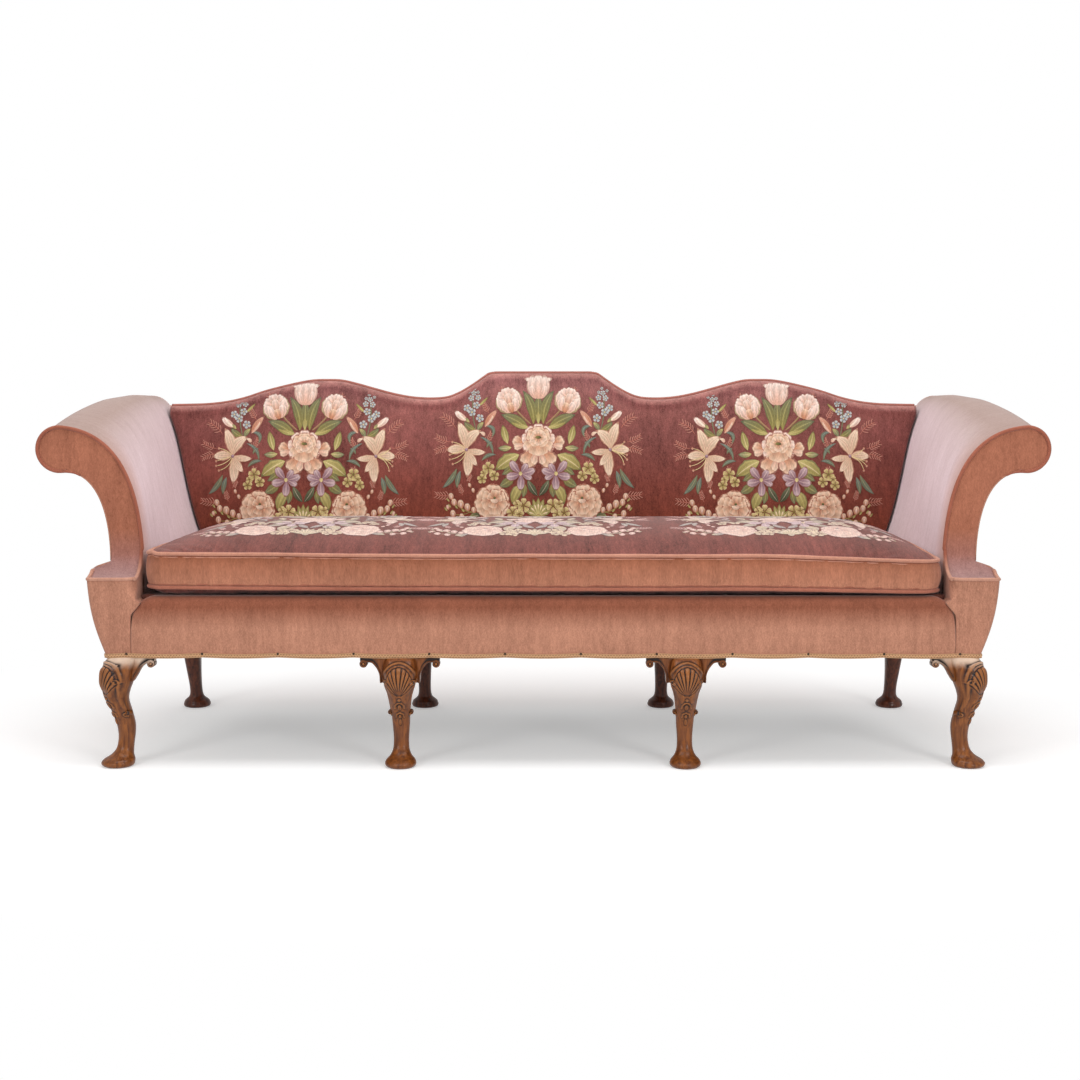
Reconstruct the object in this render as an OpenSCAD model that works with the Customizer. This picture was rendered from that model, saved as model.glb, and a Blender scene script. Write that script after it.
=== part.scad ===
/* [Seat] */
// Clear width between the arms at seat level
seat_w = 1914; // [1500:2:2300]
// Depth of the frame at rail level, from the front cover to the outside back
frame_d = 705; // [640:1:780]
// Height of the seat rails
rail_h = 130; // [110:1:150]
// Thickness of the seat rails
rail_t = 40; // [30:1:45]
// Padding and cover in front of the front rail
border_t = 14; // [8:1:20]
// Radius of the padded roll along the front edge
front_roll_r = 25; // [16:1:30]
// Height of the padded roll above the rail
front_roll_rise = 13; // [8:1:20]
// Radius at which the ends of the front border turn down
border_end_r = 55; // [30:1:70]
// Thickness of each cover with its wadding
cover_t = 4; // [3:0.5:6]
// Diameter of the piping
piping_d = 9; // [6:0.5:12]

/* [Arms] */
// Width of an arm from the seat side to the outside of its scroll
arm_w = 243; // [220:1:280]
// Height of an arm above its ear, at the facing
arm_h = 345; // [310:1:380]
// How far an arm climbs from the facing to the back
arm_rise = 81; // [40:1:100]
// Radius of the arm scroll
scroll_r = 51; // [44:1:58]
// Distance of the arm facing behind the front of the rail
facing_setback = 75; // [60:1:90]
// Height of the ear below the arm, above the underside of the rail
ear_h = 181; // [165:1:200]
// Height of the arm's foot above the ear
ear_rise = 12; // [6:1:20]
// Padding over the inside of an arm
arm_pad_t = 24; // [16:1:26]
// Thickness of the arm posts
arm_post_t = 35; // [25:1:45]
// Greatest thickness of the padded side border
side_bulge = 72; // [60:1:80]

/* [Back] */
// Rake of the back from upright
back_rake = 11; // [6:0.5:14]
// Height of the back above the underside of the rail
back_h = 695; // [640:1:740]
// Thickness of the back from front to rear
back_t = 100; // [92:1:120]
// Swell of the back padding
back_crown = 20; // [8:1:26]
// Thickness of the back frame
back_frame_t = 45; // [35:1:48]
// Width of the uprights of the back
back_post_w = 50; // [40:1:70]
// Width of the top rail of the back
top_rail_w = 64; // [50:1:80]

/* [Legs] */
// Height of the legs
leg_h = 262; // [230:1:290]
// Width of a front leg at its knee
knee_w = 74; // [66:1:82]
// Width of the square top of a front leg
leg_top_w = 66; // [60:1:72]
// Diameter of the pad foot of a front leg
front_foot_d = 74; // [60:1:84]
// Distance of the middle legs from the centre of the sofa
mid_leg_x = 337; // [280:1:400]
// Length of a knee bracket along the rail
bracket_l = 58; // [46:1:70]
// Height of a knee bracket where it meets the knee
bracket_h = 62; // [50:1:72]
// Thickness of a knee bracket
bracket_t = 26; // [18:1:32]
// Radius of the volute at the end of a bracket
volute_r = 10; // [6:0.5:12]
// Width of a rear leg at its top
rear_leg_w = 57; // [50:1:64]
// How far a rear leg kicks back at its foot
rear_leg_kick = 64; // [40:1:80]
// Diameter of the pad foot of a rear leg
rear_foot_d = 76; // [60:1:84]

/* [Cushion] */
// Height of the cushion between its two pipings
boxing_h = 88; // [70:1:110]
// Swell of the cushion top
cushion_crown = 52; // [20:1:64]
// Swell of the cushion bottom
cushion_sag = 14; // [6:1:18]
// Clearance between the cushion and each arm
cushion_side_gap = 14; // [8:1:24]
// Clearance between the cushion and the back
cushion_back_gap = 6; // [4:1:20]
// How far the front of the rail stands before the cushion
cushion_setback = 10; // [2:1:30]
// How far the sides of the cushion draw in toward its corners
cushion_draw = 12; // [4:1:20]

/* [Springs and trim] */
// Diameter of a seat spring
spring_d = 84; // [60:1:100]
// Diameter of the spring wire
spring_wire_d = 4; // [3:0.5:5]
// Width of the seat webbing
webbing_w = 50; // [40:1:60]
// Height of the gimp braid
gimp_h = 11; // [8:0.5:14]
// Thickness of the gimp braid
gimp_t = 2.5; // [1.5:0.5:4]
// Diameter of a trim nail head
nail_d = 6; // [4:0.5:9]

/* [Hidden] */

// Fine clearance between soft pieces, and the overrun of cuts
ease = 0.3;
overrun = 1;
piping_r = piping_d / 2;

// Colours
salmon = [0.72, 0.45, 0.38];
pale_pink = [0.82, 0.68, 0.68];
wine = [0.48, 0.24, 0.25];
mauve = [0.55, 0.38, 0.39];
terracotta = [0.70, 0.38, 0.28];
braid_gold = [0.74, 0.60, 0.42];
walnut = [0.42, 0.24, 0.12];
dark_walnut = [0.30, 0.14, 0.08];
beech = [0.76, 0.62, 0.44];
linen = [0.80, 0.74, 0.62];
steel = [0.45, 0.45, 0.47];
black_cotton = [0.2, 0.2, 0.2];

// Leg stations: height as a share of the leg, forward lean as a share of half the knee, half
// depth and half width as shares of half the knee or, in the foot, of half the foot, and the
// roundness of the section as an exponent
foot_share = 0.07;
front_leg_shares = [
    [1.000, 0.02, 0.89, 0.89, 5.0], [0.955, 0.22, 1.11, 0.97, 4.0], [0.900, 0.45, 1.27, 1.00, 3.2],
    [0.840, 0.60, 1.35, 1.00, 2.8], [0.760, 0.68, 1.23, 0.95, 2.5], [0.690, 0.70, 1.03, 0.80, 2.4],
    [0.610, 0.65, 0.81, 0.68, 2.3], [0.500, 0.35, 0.65, 0.61, 2.2], [0.380, 0.08, 0.54, 0.56, 2.2],
    [0.290, 0.03, 0.50, 0.51, 2.2], [0.220, 0.08, 0.46, 0.49, 2.2], [0.150, 0.19, 0.50, 0.53, 2.1],
    [0.100, 0.38, 0.65, 0.68, 2.0], [0.065, 0.59, 0.86, 0.92, 2.0], [0.038, 0.70, 1.00, 1.00, 2.0],
    [0.015, 0.70, 0.96, 0.96, 2.0], [0.000, 0.68, 0.84, 0.82, 2.0]
];
// Rear leg stations: height share, kick share, half width as a share of half the top or, in the
// foot, of half the foot, and the exponent
rear_leg_shares = [
    [1.00, 0.00, 1.00, 5.0], [0.82, 0.10, 0.94, 4.0], [0.60, 0.30, 0.82, 3.2], [0.40, 0.55, 0.69, 2.6],
    [0.25, 0.78, 0.61, 2.3], [0.15, 0.90, 0.64, 2.1], [0.09, 0.96, 0.86, 2.0], [0.05, 1.00, 0.96, 2.0],
    [0.03, 1.00, 1.00, 2.0], [0.01, 1.00, 0.95, 2.0], [0.00, 1.00, 0.81, 2.0]
];
// Crest of the back: distance from the centre as a share of half its width, and height as a
// share of the drop from the centre to the corner
back_crest_shares = [
    [0.000, 0.000], [0.127, 0.000], [0.146, 0.040], [0.156, 0.120], [0.190, 0.390], [0.225, 0.625],
    [0.259, 0.765], [0.302, 0.800], [0.352, 0.765], [0.402, 0.660], [0.452, 0.510], [0.502, 0.350],
    [0.542, 0.250], [0.576, 0.235], [0.616, 0.245], [0.652, 0.310], [0.702, 0.440], [0.751, 0.590],
    [0.800, 0.775], [0.850, 0.905], [0.900, 0.970], [0.950, 0.990], [1.000, 1.000]
];
// Drop of the crest from the centre of the back to its corners
crest_drop = 92;

// Heights
rail_top = leg_h + rail_h;
deck_z = rail_top + front_roll_rise;
ear_z = leg_h + ear_h;
arm_z = ear_z + ear_rise;
arm_top = arm_z + arm_h;
back_top = leg_h + back_h - piping_d - ease;

// Widths
seat_half = seat_w / 2;
rail_x = seat_half + cover_t;
border_x = rail_x + rail_t;
border_out = border_x + side_bulge;
corner_leg_share = 0.45;
corner_leg_x = seat_half + knee_w * corner_leg_share;

// Depths: the sofa is centred between the knees and the top of the back
rake_run = tan(back_rake);
knee_reach = (front_leg_shares[3][1] + front_leg_shares[3][2]) * knee_w / 2;
knee_out = knee_reach - leg_top_w / 2;
sofa_d = knee_out + frame_d + back_h * rake_run;
front_y = knee_out - sofa_d / 2;
leg_y = front_y + leg_top_w / 2;
rear_foot_y = front_y + frame_d;
facing_y = front_y + facing_setback;
front_rail_y = front_y + border_t;
bay_y = front_rail_y + rail_t;
facing_t = 8;
arm_front_y = facing_y + facing_t;

function rear_y(z) = rear_foot_y + (z - leg_h) * rake_run;
function face_y(z) = rear_y(z) - back_t;
// Front plane of the back frame
function frame_face_y(z) = rear_y(z) - cover_t - ease - back_frame_t;
// Depth at which the arms stop changing shape and meet the back
back_meet_y = face_y(deck_z) - back_crown;

// Curves and solids
function mix(a, b, t) = a + (b - a) * t;
function cubic(p, t) =
    pow(1 - t, 3) * p[0] + 3 * t * pow(1 - t, 2) * p[1] + 3 * t * t * (1 - t) * p[2] + pow(t, 3) * p[3];
function cubic_points(p, n, from = 0, to = 1) = [for (i = [0:n]) cubic(p, mix(from, to, i / n))];
function arc_points(c, r, from, to, n) =
    [for (i = [0:n]) let(a = mix(from, to, i / n)) c + r * [cos(a), sin(a)]];
function unit(v) = v / norm(v);
function last(v) = v[len(v) - 1];
function reversed(v) = [for (i = [len(v) - 1:-1:0]) v[i]];
function flat(v) = [for (row = v, item = row) item];
function right_of(p, i) =
    let(d = unit(p[min(i + 1, len(p) - 1)] - p[max(i - 1, 0)])) [d[1], -d[0]];
// A line moved to its right by a distance, or by one distance for each point
function moved_in(p, d) =
    [for (i = [0:len(p) - 1]) p[i] + (is_list(d) ? d[i] : d) * right_of(p, i)];
function clamp(v, low, high) = min(max(v, low), high);
function smooth(t) = let(c = clamp(t, 0, 1)) c * c * (3 - 2 * c);

// A closed solid whose faces are turned outward
module solid(points, faces) {
    sixfold = [for (f = faces) points[f[0]] * cross(points[f[1]], points[f[2]])];
    inward = sixfold * [for (f = faces) 1] > 0;
    polyhedron(points, inward ? [for (f = faces) reversed(f)] : faces);
}

function two_triangles(a, b, c, d) = [[a, b, c], [a, c, d]];

// The solid between two matching grids of points
module sheet(a, b) {
    rows = len(a);
    cols = len(a[0]);
    size = rows * cols;
    function at(j, i) = j * cols + i;
    skin = [for (j = [0:rows - 2], i = [0:cols - 2])
        each two_triangles(at(j, i), at(j, i + 1), at(j + 1, i + 1), at(j + 1, i))];
    back = [for (f = skin) [f[2] + size, f[1] + size, f[0] + size]];
    rim = concat(
        [for (i = [0:cols - 2])
            each two_triangles(at(0, i + 1), at(0, i), at(0, i) + size, at(0, i + 1) + size)],
        [for (i = [0:cols - 2], j = [rows - 1])
            each two_triangles(at(j, i), at(j, i + 1), at(j, i + 1) + size, at(j, i) + size)],
        [for (j = [0:rows - 2])
            each two_triangles(at(j, 0), at(j + 1, 0), at(j + 1, 0) + size, at(j, 0) + size)],
        [for (j = [0:rows - 2], i = [cols - 1])
            each two_triangles(at(j + 1, i), at(j, i), at(j, i) + size, at(j + 1, i) + size)]);
    solid(concat(flat(a), flat(b)), concat(skin, back, rim));
}

// The solid that joins rings of points, with flat ends
module loft(rings, closed = false) {
    n = len(rings[0]);
    m = len(rings);
    function at(j, i) = (j % m) * n + i % n;
    walls = [for (j = [0:closed ? m - 1 : m - 2], i = [0:n - 1])
        each two_triangles(at(j, i), at(j, i + 1), at(j + 1, i + 1), at(j + 1, i))];
    ends = closed ? [] : [reversed([for (i = [0:n - 1]) at(0, i)]), [for (i = [0:n - 1]) at(m - 1, i)]];
    solid(flat(rings), concat(walls, ends));
}

// A round tube along a path, its frame carried from point to point
module tube(path, r, sides = 6, closed = false) {
    n = len(path);
    function ahead(i) = unit(closed ? path[(i + 1) % n] - path[(i + n - 1) % n]
        : path[min(i + 1, n - 1)] - path[max(i - 1, 0)]);
    function carried(v, t) = unit(v - t * (v * t));
    first = abs(ahead(0)[2]) < 0.9 ? [0, 0, 1] : [0, 1, 0];
    sideways = [for (i = 0, v = carried(first, ahead(0)); i < n;
        i = i + 1, v = i < n ? carried(v, ahead(i)) : v) v];
    loft([for (i = [0:n - 1]) let(up = sideways[i], over = cross(ahead(i), up))
        [for (k = [0:sides - 1]) path[i] + r * (up * cos(360 * k / sides) + over * sin(360 * k / sides))]],
        closed);
}

// A straight-edged board between two raked planes, level at its top and bottom
module raked_board(outline, thickness, inset) {
    loft([for (d = [inset + thickness, inset])
        [for (p = outline) [p[0], rear_y(p[1]) - d, p[1]]]]);
}

// A shaped board between two raked planes, its edges square to them; the outline is of width
// and height at the plane of the outside back
module raked_panel(outline, thickness, inset) {
    translate([0, rear_foot_y, leg_h]) rotate([90 - back_rake, 0, 0])
        translate([0, 0, inset * cos(back_rake)]) linear_extrude(thickness * cos(back_rake))
        polygon([for (p = outline) [p[0], (p[1] - leg_h) / cos(back_rake)]]);
}
// How much higher a square edge stands at a depth before the outside back
function edge_lift(d) = d * sin(back_rake) * cos(back_rake);

module mirrored(side) {
    if (side < 0) mirror([1, 0, 0]) children();
    else children();
}

module both_sides() {
    for (side = [-1, 1]) mirrored(side) children();
}

// Width, depth and height between two corners
module block(low, high) {
    translate(low) cube(high - low);
}

// Seat frame
module front_seat_rail() {
    color(beech) block([-border_x, front_rail_y, leg_h], [border_x, bay_y, rail_top]);
}

module rear_seat_rail() {
    color(beech)
        raked_board([[-border_x, leg_h], [border_x, leg_h], [border_x, rail_top], [-border_x, rail_top]],
            rail_t, cover_t + ease);
}

module seat_rail(side) {
    end_low = rear_y(leg_h) - cover_t - rail_t - 2 * ease;
    end_high = rear_y(rail_top) - cover_t - rail_t - 2 * ease;
    color(beech) mirrored(side) translate([rail_x, 0, 0]) rotate([90, 0, 90]) linear_extrude(rail_t)
        polygon([[bay_y, leg_h], [end_low, leg_h], [end_high, rail_top], [bay_y, rail_top]]);
}

module left_seat_rail() { seat_rail(-1); }
module right_seat_rail() { seat_rail(1); }

cross_rail_h = 40;
module seat_cross_rails() {
    color(beech) both_sides()
        block([mid_leg_x - rail_t / 2, bay_y, leg_h],
            [mid_leg_x + rail_t / 2, rear_y(leg_h) - cover_t - rail_t - ease, leg_h + cross_rail_h]);
}

block_leg = 75;
module corner_blocks() {
    rear_bay_y = rear_y(leg_h) - cover_t - rail_t - ease;
    module wedge() {
        linear_extrude(cross_rail_h) polygon([[0, 0], [-block_leg, 0], [0, block_leg]]);
    }
    color(beech) both_sides() {
        translate([rail_x, bay_y, leg_h]) wedge();
        translate([rail_x, rear_bay_y, leg_h]) mirror([0, 1, 0]) wedge();
    }
}

// Arm section: inside edge, scroll and underside, as width from the seat and height above the
// ear, at a depth y
front_bow_shares = [[0, 0], [0, 0.5], [0.14, 0.97]];
rear_bow_shares = [[0, 0.12], [0.38, 0.6], [0.3, 1.08]];
under_shares = [[0.444, 0.719], [0.3, 0.449], [0.305, 0.081]];
scroll_share = 1 - 2 * scroll_r / arm_h;
arm_depth_shares = [0, 0.18, 0.42, 0.7, 1];
arm_rise_shares = [0, 0.3, 0.6, 0.86, 1];
function arm_depth(share) = mix(arm_front_y, back_meet_y, share);
rise_table = [for (i = [0:4]) [arm_depth(arm_depth_shares[i]), arm_rise_shares[i]]];
function climb(y) = lookup(y, rise_table);
function lifted(p, y) =
    [p[0], p[1] + arm_rise * climb(y) * smooth(p[1] / (arm_h * scroll_share))];
function scaled(s) = [s[0] * arm_w, s[1] * arm_h];
scroll_centre = [arm_w - scroll_r, arm_h - scroll_r];
function bow(y) = let(t = clamp((y - arm_front_y) / (back_meet_y - arm_front_y), 0, 1))
    [for (i = [0:2]) scaled(mix(front_bow_shares[i], rear_bow_shares[i], t))];
function inside_line(y, n = 9) = cubic_points(concat(bow(y), [scroll_centre + [0, scroll_r]]), n);
function scroll_line(n = 8) = arc_points(scroll_centre, scroll_r, 90, -90, n);
under_curve = concat([scroll_centre - [0, scroll_r]], [for (s = under_shares) scaled(s)]);
tack_share = 0.05;
outside_share = 0.065;
arm_foot = rail_top - arm_z;

// The whole inside line from the rail over the scroll to its tack line
function arm_over(y) = [for (p = concat([[0, arm_foot]], inside_line(y),
    [for (i = [1:8]) scroll_line()[i]], [cubic(under_curve, tack_share)])) lifted(p, y)];
function arm_under(y) = [for (p = cubic_points(under_curve, 7, outside_share, 1)) lifted(p, y)];

// A row of points of the arm at a depth, cut by the raked plane of the back
function arm_row(line, y, margin) =
    [for (p = line) [seat_half + p[0], min(y, rear_y(arm_z + p[1]) - margin), arm_z + p[1]]];
arm_rear_margin = cover_t + ease;
function arm_stations(from) = concat([from],
    [for (s = arm_depth_shares) if (arm_depth(s) > from) arm_depth(s)], [sofa_d]);

// Thickness of the padding along the inside line, thin at the foot and at the tack line
pad_shares = [0.5, 0.6, 0.7, 0.85, 1, 1, 1, 1, 1, 1, 1, 1, 1, 1, 1, 0.95, 0.8, 0.6, 0.35, 0.2];
arm_pad = [for (s = pad_shares) cover_t + ease + s * arm_pad_t];

module inside_arm_cover(side) {
    color(pale_pink) mirrored(side) sheet(
        [for (y = arm_stations(arm_front_y)) arm_row(arm_over(y), y, arm_rear_margin)],
        [for (y = arm_stations(arm_front_y)) arm_row(moved_in(arm_over(y), cover_t), y, arm_rear_margin)]);
}

module arm_stuffing(side) {
    color(linen) mirrored(side) sheet(
        [for (y = arm_stations(arm_front_y))
            arm_row(moved_in(arm_over(y), cover_t + ease), y, arm_rear_margin)],
        [for (y = arm_stations(arm_front_y)) arm_row(moved_in(arm_over(y), arm_pad), y, arm_rear_margin)]);
}

module outside_arm_cover(side) {
    color(salmon) mirrored(side) sheet(
        [for (y = arm_stations(arm_front_y)) arm_row(arm_under(y), y, arm_rear_margin)],
        [for (y = arm_stations(arm_front_y)) arm_row(moved_in(arm_under(y), cover_t), y, arm_rear_margin)]);
}

// Outline of an arm post, inside the padding, standing on the rail
post_gap = 1;
function post_outline(y) =
    let(over = moved_in(arm_over(y), [for (d = arm_pad) d + post_gap]),
        under = moved_in(arm_under(y), cover_t + 2 * ease))
    concat(over, [for (i = [1:7]) under[i]], [[last(under)[0], arm_foot]]);

// A sawn board, within the padding at its front and at its back
module arm_front_post(side) {
    back = arm_front_y + arm_post_t;
    color(beech) mirrored(side) translate([seat_half, back, arm_z]) rotate([90, 0, 0]) intersection() {
        linear_extrude(arm_post_t) polygon(post_outline(arm_front_y));
        linear_extrude(arm_post_t) polygon(post_outline(back));
    }
}

// Its square edges climb with the rake, so it is also cut by its outline dropped by that climb
module arm_rear_post(side) {
    drop = edge_lift(arm_rear_margin + arm_post_t);
    foot = rail_top + drop;
    outline = [for (p = post_outline(back_meet_y)) [seat_half + p[0], arm_z + p[1]]];
    color(beech) mirrored(side) intersection() {
        raked_panel(outline, arm_post_t, arm_rear_margin);
        raked_panel([for (p = outline) [p[0], p[1] > foot ? p[1] - drop : rail_top]],
            arm_post_t, arm_rear_margin);
    }
}

// Outline of the top rail, the part of the post that lies in the scroll
function rail_outline(y) = let(over = post_outline(y)) [for (i = [7:19]) over[i]];

module arm_top_rail(side) {
    start = arm_front_y + arm_post_t + ease;
    color(beech) mirrored(side) loft([for (y = arm_stations(start))
        arm_row(rail_outline(y), y, arm_rear_margin + arm_post_t + ease)]);
}

// Outline of the arm facing, down to the rail
function facing_outline() =
    let(over = arm_over(arm_front_y), under = arm_under(arm_front_y))
    let(notch_x = border_x - ease - seat_half, notch_z = border_top + ease - arm_z)
    concat([[0, arm_foot + ease]], [for (i = [1:len(over) - 1]) over[i]], under,
        [[last(under)[0], notch_z], [notch_x, notch_z], [notch_x, arm_foot + ease]]);

module arm_facing(side) {
    color(salmon) mirrored(side)
        translate([seat_half, arm_front_y - ease, arm_z]) rotate([90, 0, 0])
        linear_extrude(facing_t - ease) polygon(facing_outline());
}

// Ledge that runs from the foot of the outside cover to the edge of the side border
ledge_rise = 4;
ledge_in = [seat_half + under_shares[2][0] * arm_w, arm_z + under_shares[2][1] * arm_h];
ledge_out = [border_out, arm_z + ledge_rise];

// The cove from the flat of the ear to the facing, and the rounded corners of the ear
ear_flat = 7;
cove_r = facing_setback - ear_flat;
ear_in_r = 30;
ear_out_r = 14;
module ear_pad(side) {
    depth = facing_setback - ease;
    top = ear_z + cove_r;
    module plan() {
        hull() {
            translate([seat_half + ear_in_r, ear_in_r]) circle(ear_in_r, $fn = 32);
            translate([border_out - ear_out_r, ear_out_r]) circle(ear_out_r, $fn = 32);
            translate([seat_half, depth - overrun]) square([border_out - seat_half, overrun]);
        }
    }
    color(mauve) mirrored(side) difference() {
        translate([0, front_y, rail_top + ease]) linear_extrude(top - rail_top - ease) plan();
        translate([seat_half - overrun, front_y + facing_setback - cove_r - ease, top]) rotate([0, 90, 0])
            cylinder(h = border_out - seat_half + 2 * overrun, r = cove_r, $fn = 64);
        block([seat_half - overrun, front_y - overrun, ear_z],
            [border_out + overrun, front_y + facing_setback - cove_r, top + overrun]);
        translate([0, facing_y + overrun, 0]) rotate([90, 0, 0]) linear_extrude(facing_setback + 2 * overrun)
            polygon([ledge_in, ledge_out, [border_out + overrun, ledge_out[1]],
                [border_out + overrun, top + overrun], [ledge_in[0], top + overrun]]);
        block([border_x - ease, front_y - overrun, rail_top - overrun],
            [border_out + overrun, facing_y + overrun, border_top + ease]);
    }
}

// Section of the padded side border, bowed out and drawn in to the underside of the rail
border_foot_share = 0.4;
side_bow_shares = [[border_foot_share, 0], [0.75, 0.36], [0.94, 0.55]];
border_top = ear_z - piping_d;
border_lap = 11;
border_in = seat_half + border_lap;
// Where the end of the front border passes the top of the rail
border_end_x = border_in - border_end_r + sqrt(pow(border_end_r, 2) - pow(border_end_r - front_roll_rise, 2));
function side_bow() = cubic_points(concat(
    [for (s = side_bow_shares) [border_x + s[0] * side_bulge, leg_h + s[1] * ear_h]],
    [[border_out, ledge_out[1]]]), 10);

// The end of the front border, which turns down to the side border at a distance from the centre
function border_end(x) = arc_points([x - border_end_r, deck_z - border_end_r], border_end_r, 0, 90, 12);

module side_border(side) {
    rear_margin = cover_t + ease;
    bow_line = side_bow();
    section = concat([[border_x, leg_h]], bow_line,
        [ledge_in - [0, ease], [ledge_in[0] - cover_t - ease, ledge_in[1] - ease],
            [ledge_in[0] - cover_t - ease, rail_top], [border_x, rail_top]]);
    low_section = concat([[border_x, leg_h]], [for (p = bow_line) if (p[1] < border_top) p],
        [[border_out - ease, border_top], [border_x, border_top]]);
    color(salmon) mirrored(side) {
        difference() {
            loft([for (y = [facing_y, sofa_d])
                [for (p = section) [p[0], min(y, rear_y(p[1]) - rear_margin), p[1]]]]);
            block([border_x - overrun, facing_y - overrun, border_top],
                [ledge_in[0] + ease, arm_front_y + ease, arm_top]);
        }
        difference() {
            translate([0, facing_y, 0]) rotate([90, 0, 0])
                linear_extrude(facing_setback) polygon(low_section);
            block([border_x - overrun, front_rail_y, leg_h - overrun],
                [border_x, bay_y, rail_top]);
        }
        translate([0, front_rail_y, 0]) rotate([90, 0, 0]) linear_extrude(border_t) polygon(concat(
            [[border_x, leg_h], [border_in, leg_h]],
            [for (p = border_end(border_in)) if (p[1] < rail_top) p],
            [[border_end_x, rail_top], [border_x, rail_top]]));
    }
}

// Piping round the facing, down the cove, round the front of the ear and back along the ledge
function facing_piping() =
    let(r = piping_r + ease, y = facing_y - ease - r, cove = cove_r - r,
        x_in = seat_half + piping_r, x_out = border_out - piping_r - ease,
        cove_y = facing_y - ease - cove_r, top = ear_z + cove_r,
        in_r = ear_in_r - piping_r, out_r = ear_out_r - piping_r,
        edge = [for (p = reversed(concat(arm_over(arm_front_y), arm_under(arm_front_y))))
            if (p[1] > top - arm_z) p],
        rim = moved_in(edge, -piping_r),
        plan = concat(
            [for (a = [0:15:45]) [x_in, cove_y + cove * cos(a)]],
            arc_points([x_in + in_r, front_y + ear_in_r], in_r, 180, 270, 4),
            arc_points([x_out - out_r, front_y + ear_out_r], out_r, 270, 360, 3)),
        slope = (ledge_in[1] - ledge_out[1]) / (ledge_out[0] - ledge_in[0]),
        ledge = ledge_out[1] + slope * (border_out - x_out) + r * sqrt(1 + slope * slope),
        meet_y = cove_y + sqrt(cove * cove - pow(top - ledge, 2)),
        rear = rear_y(ledge - piping_r) - cover_t - overrun)
    concat([for (p = rim) [seat_half + p[0], y, arm_z + p[1]]],
        [for (p = plan) [p[0], p[1], top - sqrt(max(0, cove * cove - pow(max(0, p[1] - cove_y), 2)))]],
        [for (y = [cove_y + 2 * piping_d, cove_y + 4 * piping_d])
            [x_out, y, top - sqrt(cove * cove - pow(y - cove_y, 2))]],
        [[x_out, meet_y, ledge], [x_out, facing_y, ledge], [x_out, rear, ledge]]);

module arm_piping(side) {
    color(terracotta) mirrored(side) tube(facing_piping(), piping_r);
}

module left_arm_front_post() { arm_front_post(-1); }
module right_arm_front_post() { arm_front_post(1); }
module left_arm_rear_post() { arm_rear_post(-1); }
module right_arm_rear_post() { arm_rear_post(1); }
module left_arm_top_rail() { arm_top_rail(-1); }
module right_arm_top_rail() { arm_top_rail(1); }
module left_arm_stuffing() { arm_stuffing(-1); }
module right_arm_stuffing() { arm_stuffing(1); }
module left_inside_arm_cover() { inside_arm_cover(-1); }
module right_inside_arm_cover() { inside_arm_cover(1); }
module left_outside_arm_cover() { outside_arm_cover(-1); }
module right_outside_arm_cover() { outside_arm_cover(1); }
module left_arm_facing() { arm_facing(-1); }
module right_arm_facing() { arm_facing(1); }
module left_arm_piping() { arm_piping(-1); }
module right_arm_piping() { arm_piping(1); }
module left_side_border() { side_border(-1); }
module right_side_border() { side_border(1); }
module left_ear_pad() { ear_pad(-1); }
module right_ear_pad() { ear_pad(1); }

// Back: its sides follow the inside line of the arms
back_side_gap = 4.5;
corner_z = back_top - crest_drop;
arm_side_table = [for (p = concat([[0, arm_foot]], inside_line(back_meet_y)))
    let(q = lifted(p, back_meet_y)) [arm_z + q[1], seat_half + q[0]]];
function back_half(z) = lookup(min(z, corner_z), arm_side_table) - back_side_gap;
corner_x = back_half(corner_z);
function crest_z(share) = back_top - crest_drop * lookup(abs(share), back_crest_shares);
crest_columns = concat([for (i = [len(back_crest_shares) - 1:-1:1]) -back_crest_shares[i][0]],
    [for (s = back_crest_shares) s[0]]);
back_edge_r = 22;
back_rows = 6;

// One upright line of the back at a share of its half width, sunk below the cover by d, with a
// row where the line of the arms turns outward
function back_line(share, d) =
    let(top = crest_z(share), turn = arm_side_table[1][0], bend = top - back_edge_r,
        r = back_edge_r - d, swell = back_crown * (1 - pow(abs(share), 4)),
        heights = concat([deck_z + ease], [for (k = [0:back_rows - 1]) mix(turn, bend, k / (back_rows - 1))]))
    concat(
        [for (k = [0:back_rows]) let(z = heights[k])
            [share * back_half(z), face_y(z) + d - swell * pow(sin(180 * k / back_rows), 0.8), z]],
        [for (a = [30:30:90]) let(z = bend + r * sin(a))
            [share * back_half(z), face_y(bend) + back_edge_r - r * cos(a), z]]);
function top_line(share, d, margin) =
    let(p = last(back_line(share, d))) [[p[0], rear_y(p[2]) - margin, p[2]]];

module inside_back_cover() {
    rear_margin = cover_t + ease;
    color(wine) sheet(
        [for (s = crest_columns) concat(back_line(s, 0), top_line(s, 0, rear_margin))],
        [for (s = crest_columns) concat(back_line(s, cover_t), top_line(s, cover_t, rear_margin))]);
}

module back_pad() {
    d = cover_t + ease;
    color(linen) sheet(
        [for (s = crest_columns) back_line(s, d)],
        [for (s = crest_columns) [for (p = back_line(s, d)) [p[0], frame_face_y(p[2]) - ease, p[2]]]]);
}

// Crest of the wooden frame, below the cover
frame_lift = edge_lift(cover_t + ease + back_frame_t);
// A line along the crest, dropped by d below it
function crest_line(d) = [for (s = crest_columns)
    let(z = crest_z(s) - d) [s * (back_half(z) - ease), z]];
// Points down the side of the back between two heights
function side_line(high, low) = [for (k = [1:3]) let(z = mix(high, low, k / 4)) [back_half(z) - ease, z]];

rail_drop = cover_t + ease + frame_lift;
module back_top_rail() {
    side = side_line(corner_z - rail_drop, corner_z - rail_drop - top_rail_w);
    color(beech) raked_panel(
        concat(crest_line(rail_drop), side, reversed(crest_line(rail_drop + top_rail_w)),
            [for (p = reversed(side)) [-p[0], p[1]]]),
        back_frame_t, cover_t + ease);
}

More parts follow.
